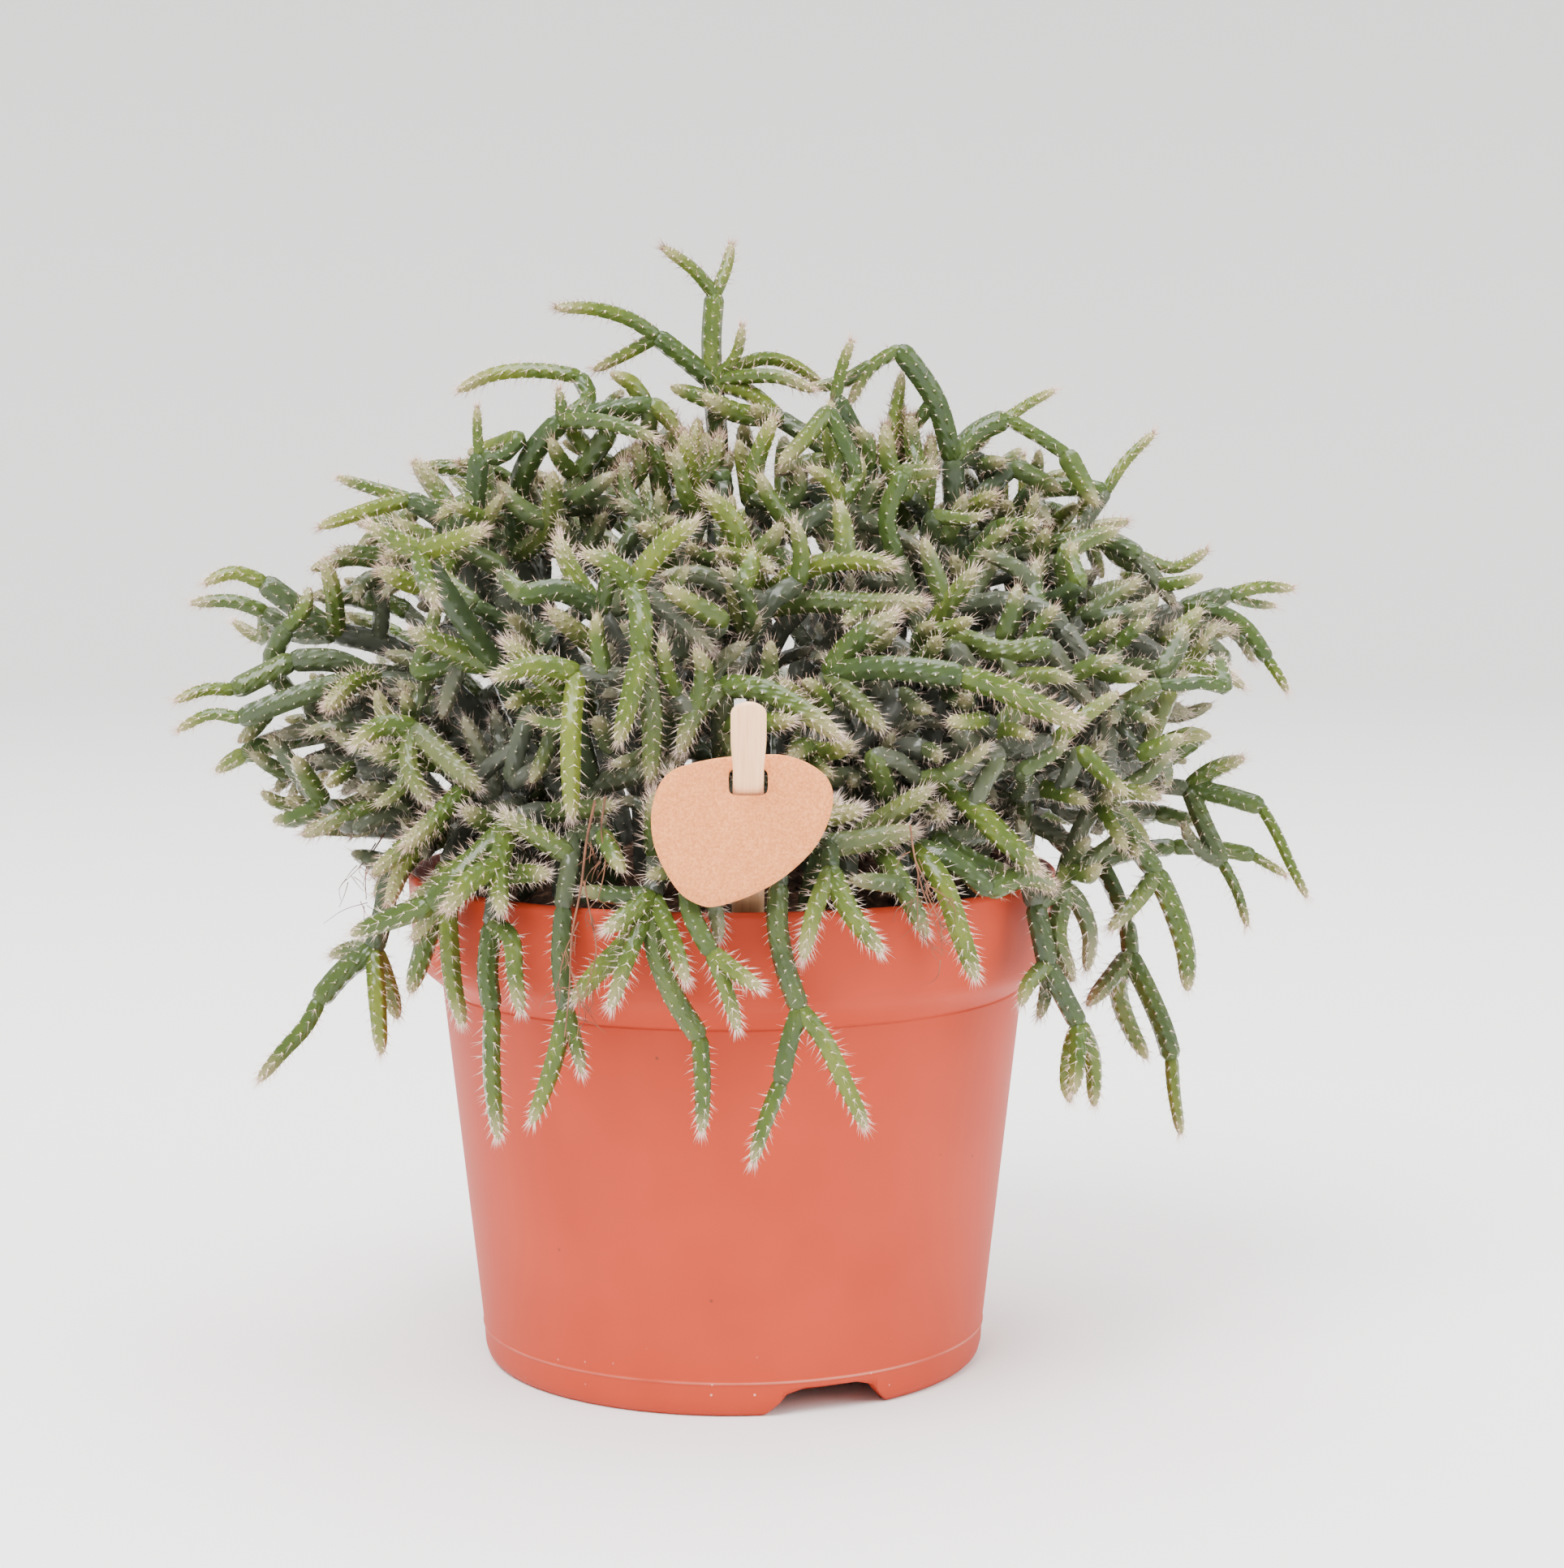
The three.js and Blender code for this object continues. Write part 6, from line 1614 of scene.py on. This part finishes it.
# %% Moulded polypropylene, peat, kraft board and wood
def moulded_polypropylene():
    """Terracotta-coloured plastic: a satin grain of 0.3 mm, a cloudy tone of 20 mm and tiny dark specks. It
    is worn pale in scuffs of half a millimetre, up to 14 mm above the base, and it is paler here and there
    along the bead round the foot, 6.4 mm up."""
    material, shader, add = new_material("moulded_polypropylene", Roughness=0.55, IOR=1.49,
                                         Specular_IOR_Level=0.2)
    place_on = add("TexCoord", out="Object")
    cloud = add("TexNoise", Vector=place_on, Scale=1 / 0.02, Detail=2.0)
    base = add("ValToRGB", {"stops": ((0.3, "A8361C"), (0.7, "B03B21"))}, i0=cloud)
    speck = add("TexVoronoi", Vector=place_on, Scale=1 / 0.012)
    dark = add("MapRange", Value=speck, i1=0.02, i2=0.035, i3=0.75, i4=0.0)
    specked = add("Mix", {"data_type": "RGBA"}, 2, i0=dark, i6=base, i7=srgb("5A3328"))
    height = add("SeparateXYZ", out=2, Vector=place_on)
    low = add("MapRange", Value=height, i1=0.006, i2=0.014, i3=1.0, i4=0.0)
    spot = add("TexVoronoi", Vector=place_on, Scale=1 / 0.0045)
    scuff = add("MapRange", Value=spot, i1=0.03, i2=0.06, i3=0.6, i4=0.0)
    scuffed = add("Math", {"operation": "MULTIPLY"}, i0=scuff, i1=low)
    # A pale line along the bead round the foot, stronger here and there.
    bead = add("Math", {"operation": "COMPARE"}, i0=height, i1=0.00638, i2=0.00022)
    bead_pale = add("MapRange", Value=cloud, i1=0.35, i2=0.6, i3=0.03, i4=0.2)
    on_bead = add("Math", {"operation": "MULTIPLY"}, i0=bead, i1=bead_pale)
    pale = add("Math", {"operation": "MAXIMUM"}, i0=scuffed, i1=on_bead)
    colour = add("Mix", {"data_type": "RGBA"}, 2, i0=pale, i6=specked, i7=srgb("E8C4B0"))
    grain = add("TexNoise", Vector=place_on, Scale=1 / 0.0003, Detail=1.0)
    feed(shader, Base_Color=colour, Normal=add("Bump", Strength=0.2, Distance=0.00004, Height=grain))
    return material


def peat():
    """Moist peat: dark brown with paler fibres and crumbs of 1.6 mm."""
    material, shader, add = new_material("peat", Roughness=0.95, Specular_IOR_Level=0.2)
    crumb = add("TexNoise", Vector=add("TexCoord", out="Object"), Scale=1 / 0.0016, Detail=4.0)
    colour = add("ValToRGB", {"stops": ((0.3, "20150F"), (0.55, "3E2A1F"), (0.8, "6E5240"))}, i0=crumb)
    feed(shader, Base_Color=colour, Normal=add("Bump", Strength=0.7, Distance=0.0006, Height=crumb))
    return material


def kraft_board():
    """Uncoated kraft board: a fine speckle of pale and dark fibres, less than half a millimetre long."""
    material, shader, add = new_material("kraft_board", Roughness=0.88)
    fibre = add("TexNoise", Vector=add("TexCoord", out="Object"), Scale=1 / 0.0004, Detail=3.0, Roughness=0.8)
    colour = add("ValToRGB", {"stops": ((0.3, "B96E36"), (0.5, "D8844A"), (0.7, "EC9F62"))}, i0=fibre)
    feed(shader, Base_Color=colour, Normal=add("Bump", Strength=0.3, Distance=0.0001, Height=fibre))
    return material


def bare_wood():
    """Split wood: a straight grain half a millimetre wide that runs along the stick."""
    material, shader, add = new_material("bare_wood", Roughness=0.65)
    turned = add("Mapping", {"vector_type": "TEXTURE"}, Vector=add("TexCoord", out="Object"),
                 Rotation=(STICK["lean"], 0, 0), Scale=(0.0006, 0.0006, 0.015))
    grain = add("TexNoise", Vector=turned, Scale=1.0, Detail=3.0)
    feed(shader, Base_Color=add("ValToRGB", {"stops": ((0.25, "EFB585"), (0.6, "FFCC9C"))}, i0=grain))
    return material
skin_material, wool_material = cactus_skin(), cactus_wool()
for piece in spray_skins:
    piece.data.materials.append(skin_material)
for piece in spray_wools:
    piece.data.materials.append(wool_material)
for piece, material in ((pot, moulded_polypropylene()), (soil, peat()), (card, kraft_board()),
                        (stick, bare_wood()), (dry_roots, dry_root_fibre())):
    piece.data.materials.append(material)
print("materials:", ", ".join(sorted(material.name for material in bpy.data.materials)))

# %% [markdown]
# ## Floor and light
#
# The floor is a wide dish that turns up far behind the plant, so it has no horizon. Three large soft lights
# stand inside it: the main one high at the left front, a weaker one at the right, and one above.

# %% The floor
FLOOR = {"rings": 40, "angles": 72, "first": 0.05, "second": 0.4, "radius": 3.5, "level": 1.6, "rise": 1.8}


def make_floor():
    """A dish: level within 1.6 m, then rising with the square of the distance past that, to 1.8 m."""
    rows, columns = FLOOR["rings"], FLOOR["angles"]
    radius = np.concatenate([[FLOOR["first"]], np.linspace(FLOOR["second"], FLOOR["radius"], rows - 1)])
    past = np.clip((radius - FLOOR["level"]) / (FLOOR["radius"] - FLOOR["level"]), 0, 1)
    height = FLOOR["rise"] * past ** 2
    angle = full_turn(columns)
    dots = np.stack([radius[:, None] * np.cos(angle), radius[:, None] * np.sin(angle),
                     np.repeat(height[:, None], columns, 1)], -1).reshape(-1, 3)
    faces = np.vstack([grid_faces(rows, columns), [[0, k + 1, k] for k in range(1, columns - 1)]])
    mesh = bpy.data.meshes.new("floor")
    mesh.from_pydata(dots.tolist(), [], faces.tolist())
    mesh.polygons.foreach_set("use_smooth", np.ones(len(faces), bool))
    mesh.materials.append(new_material("painted_floor", Roughness=0.9, Base_Color=srgb("F6F5F3"))[0])
    floor = bpy.data.objects.new("floor", mesh)
    bpy.context.scene.collection.objects.link(floor)
    floor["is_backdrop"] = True
    return floor


floor = make_floor()
print("the floor is", round(floor.dimensions.x, 1), "m wide")

# %% The lights
LIGHTS = {  # the place and the width of each in metres, and its power in watts
    "main_light": ((-0.5, -0.9, 1.45), 0.9, 56),
    "side_light": ((1.2, -0.6, 0.8), 0.9, 15),
    "top_light": ((0.1, 0.3, 1.6), 1.2, 38),
}
LIT = np.array([0, 0, 0.1])  # the point that all of them look at
ROOM_LIGHT = 1.15

for name, (place_of, width, power) in LIGHTS.items():
    light = bpy.data.objects.new(name, bpy.data.lights.new(name, "AREA"))
    light.data.shape, light.data.size, light.data.energy = "SQUARE", width, power
    bpy.context.scene.collection.objects.link(light)
    way = LIT - place_of
    light.location = place_of
    down, turn = math.acos(-way[2] / np.linalg.norm(way)), math.atan2(way[1], way[0])
    light.rotation_euler = (down, 0, turn - math.pi / 2)
world = bpy.data.worlds.new("soft_room")
bpy.context.scene.world = world
world.use_nodes = True
feed(world.node_tree.nodes["Background"], Color=srgb("FFFFFF"), Strength=ROOM_LIGHT)
print("lights:", ", ".join(LIGHTS))
# %% Size and finish
low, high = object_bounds()
print("the object measures", [round((b - a) / MM, 1) for a, b in zip(low, high)], "mm")
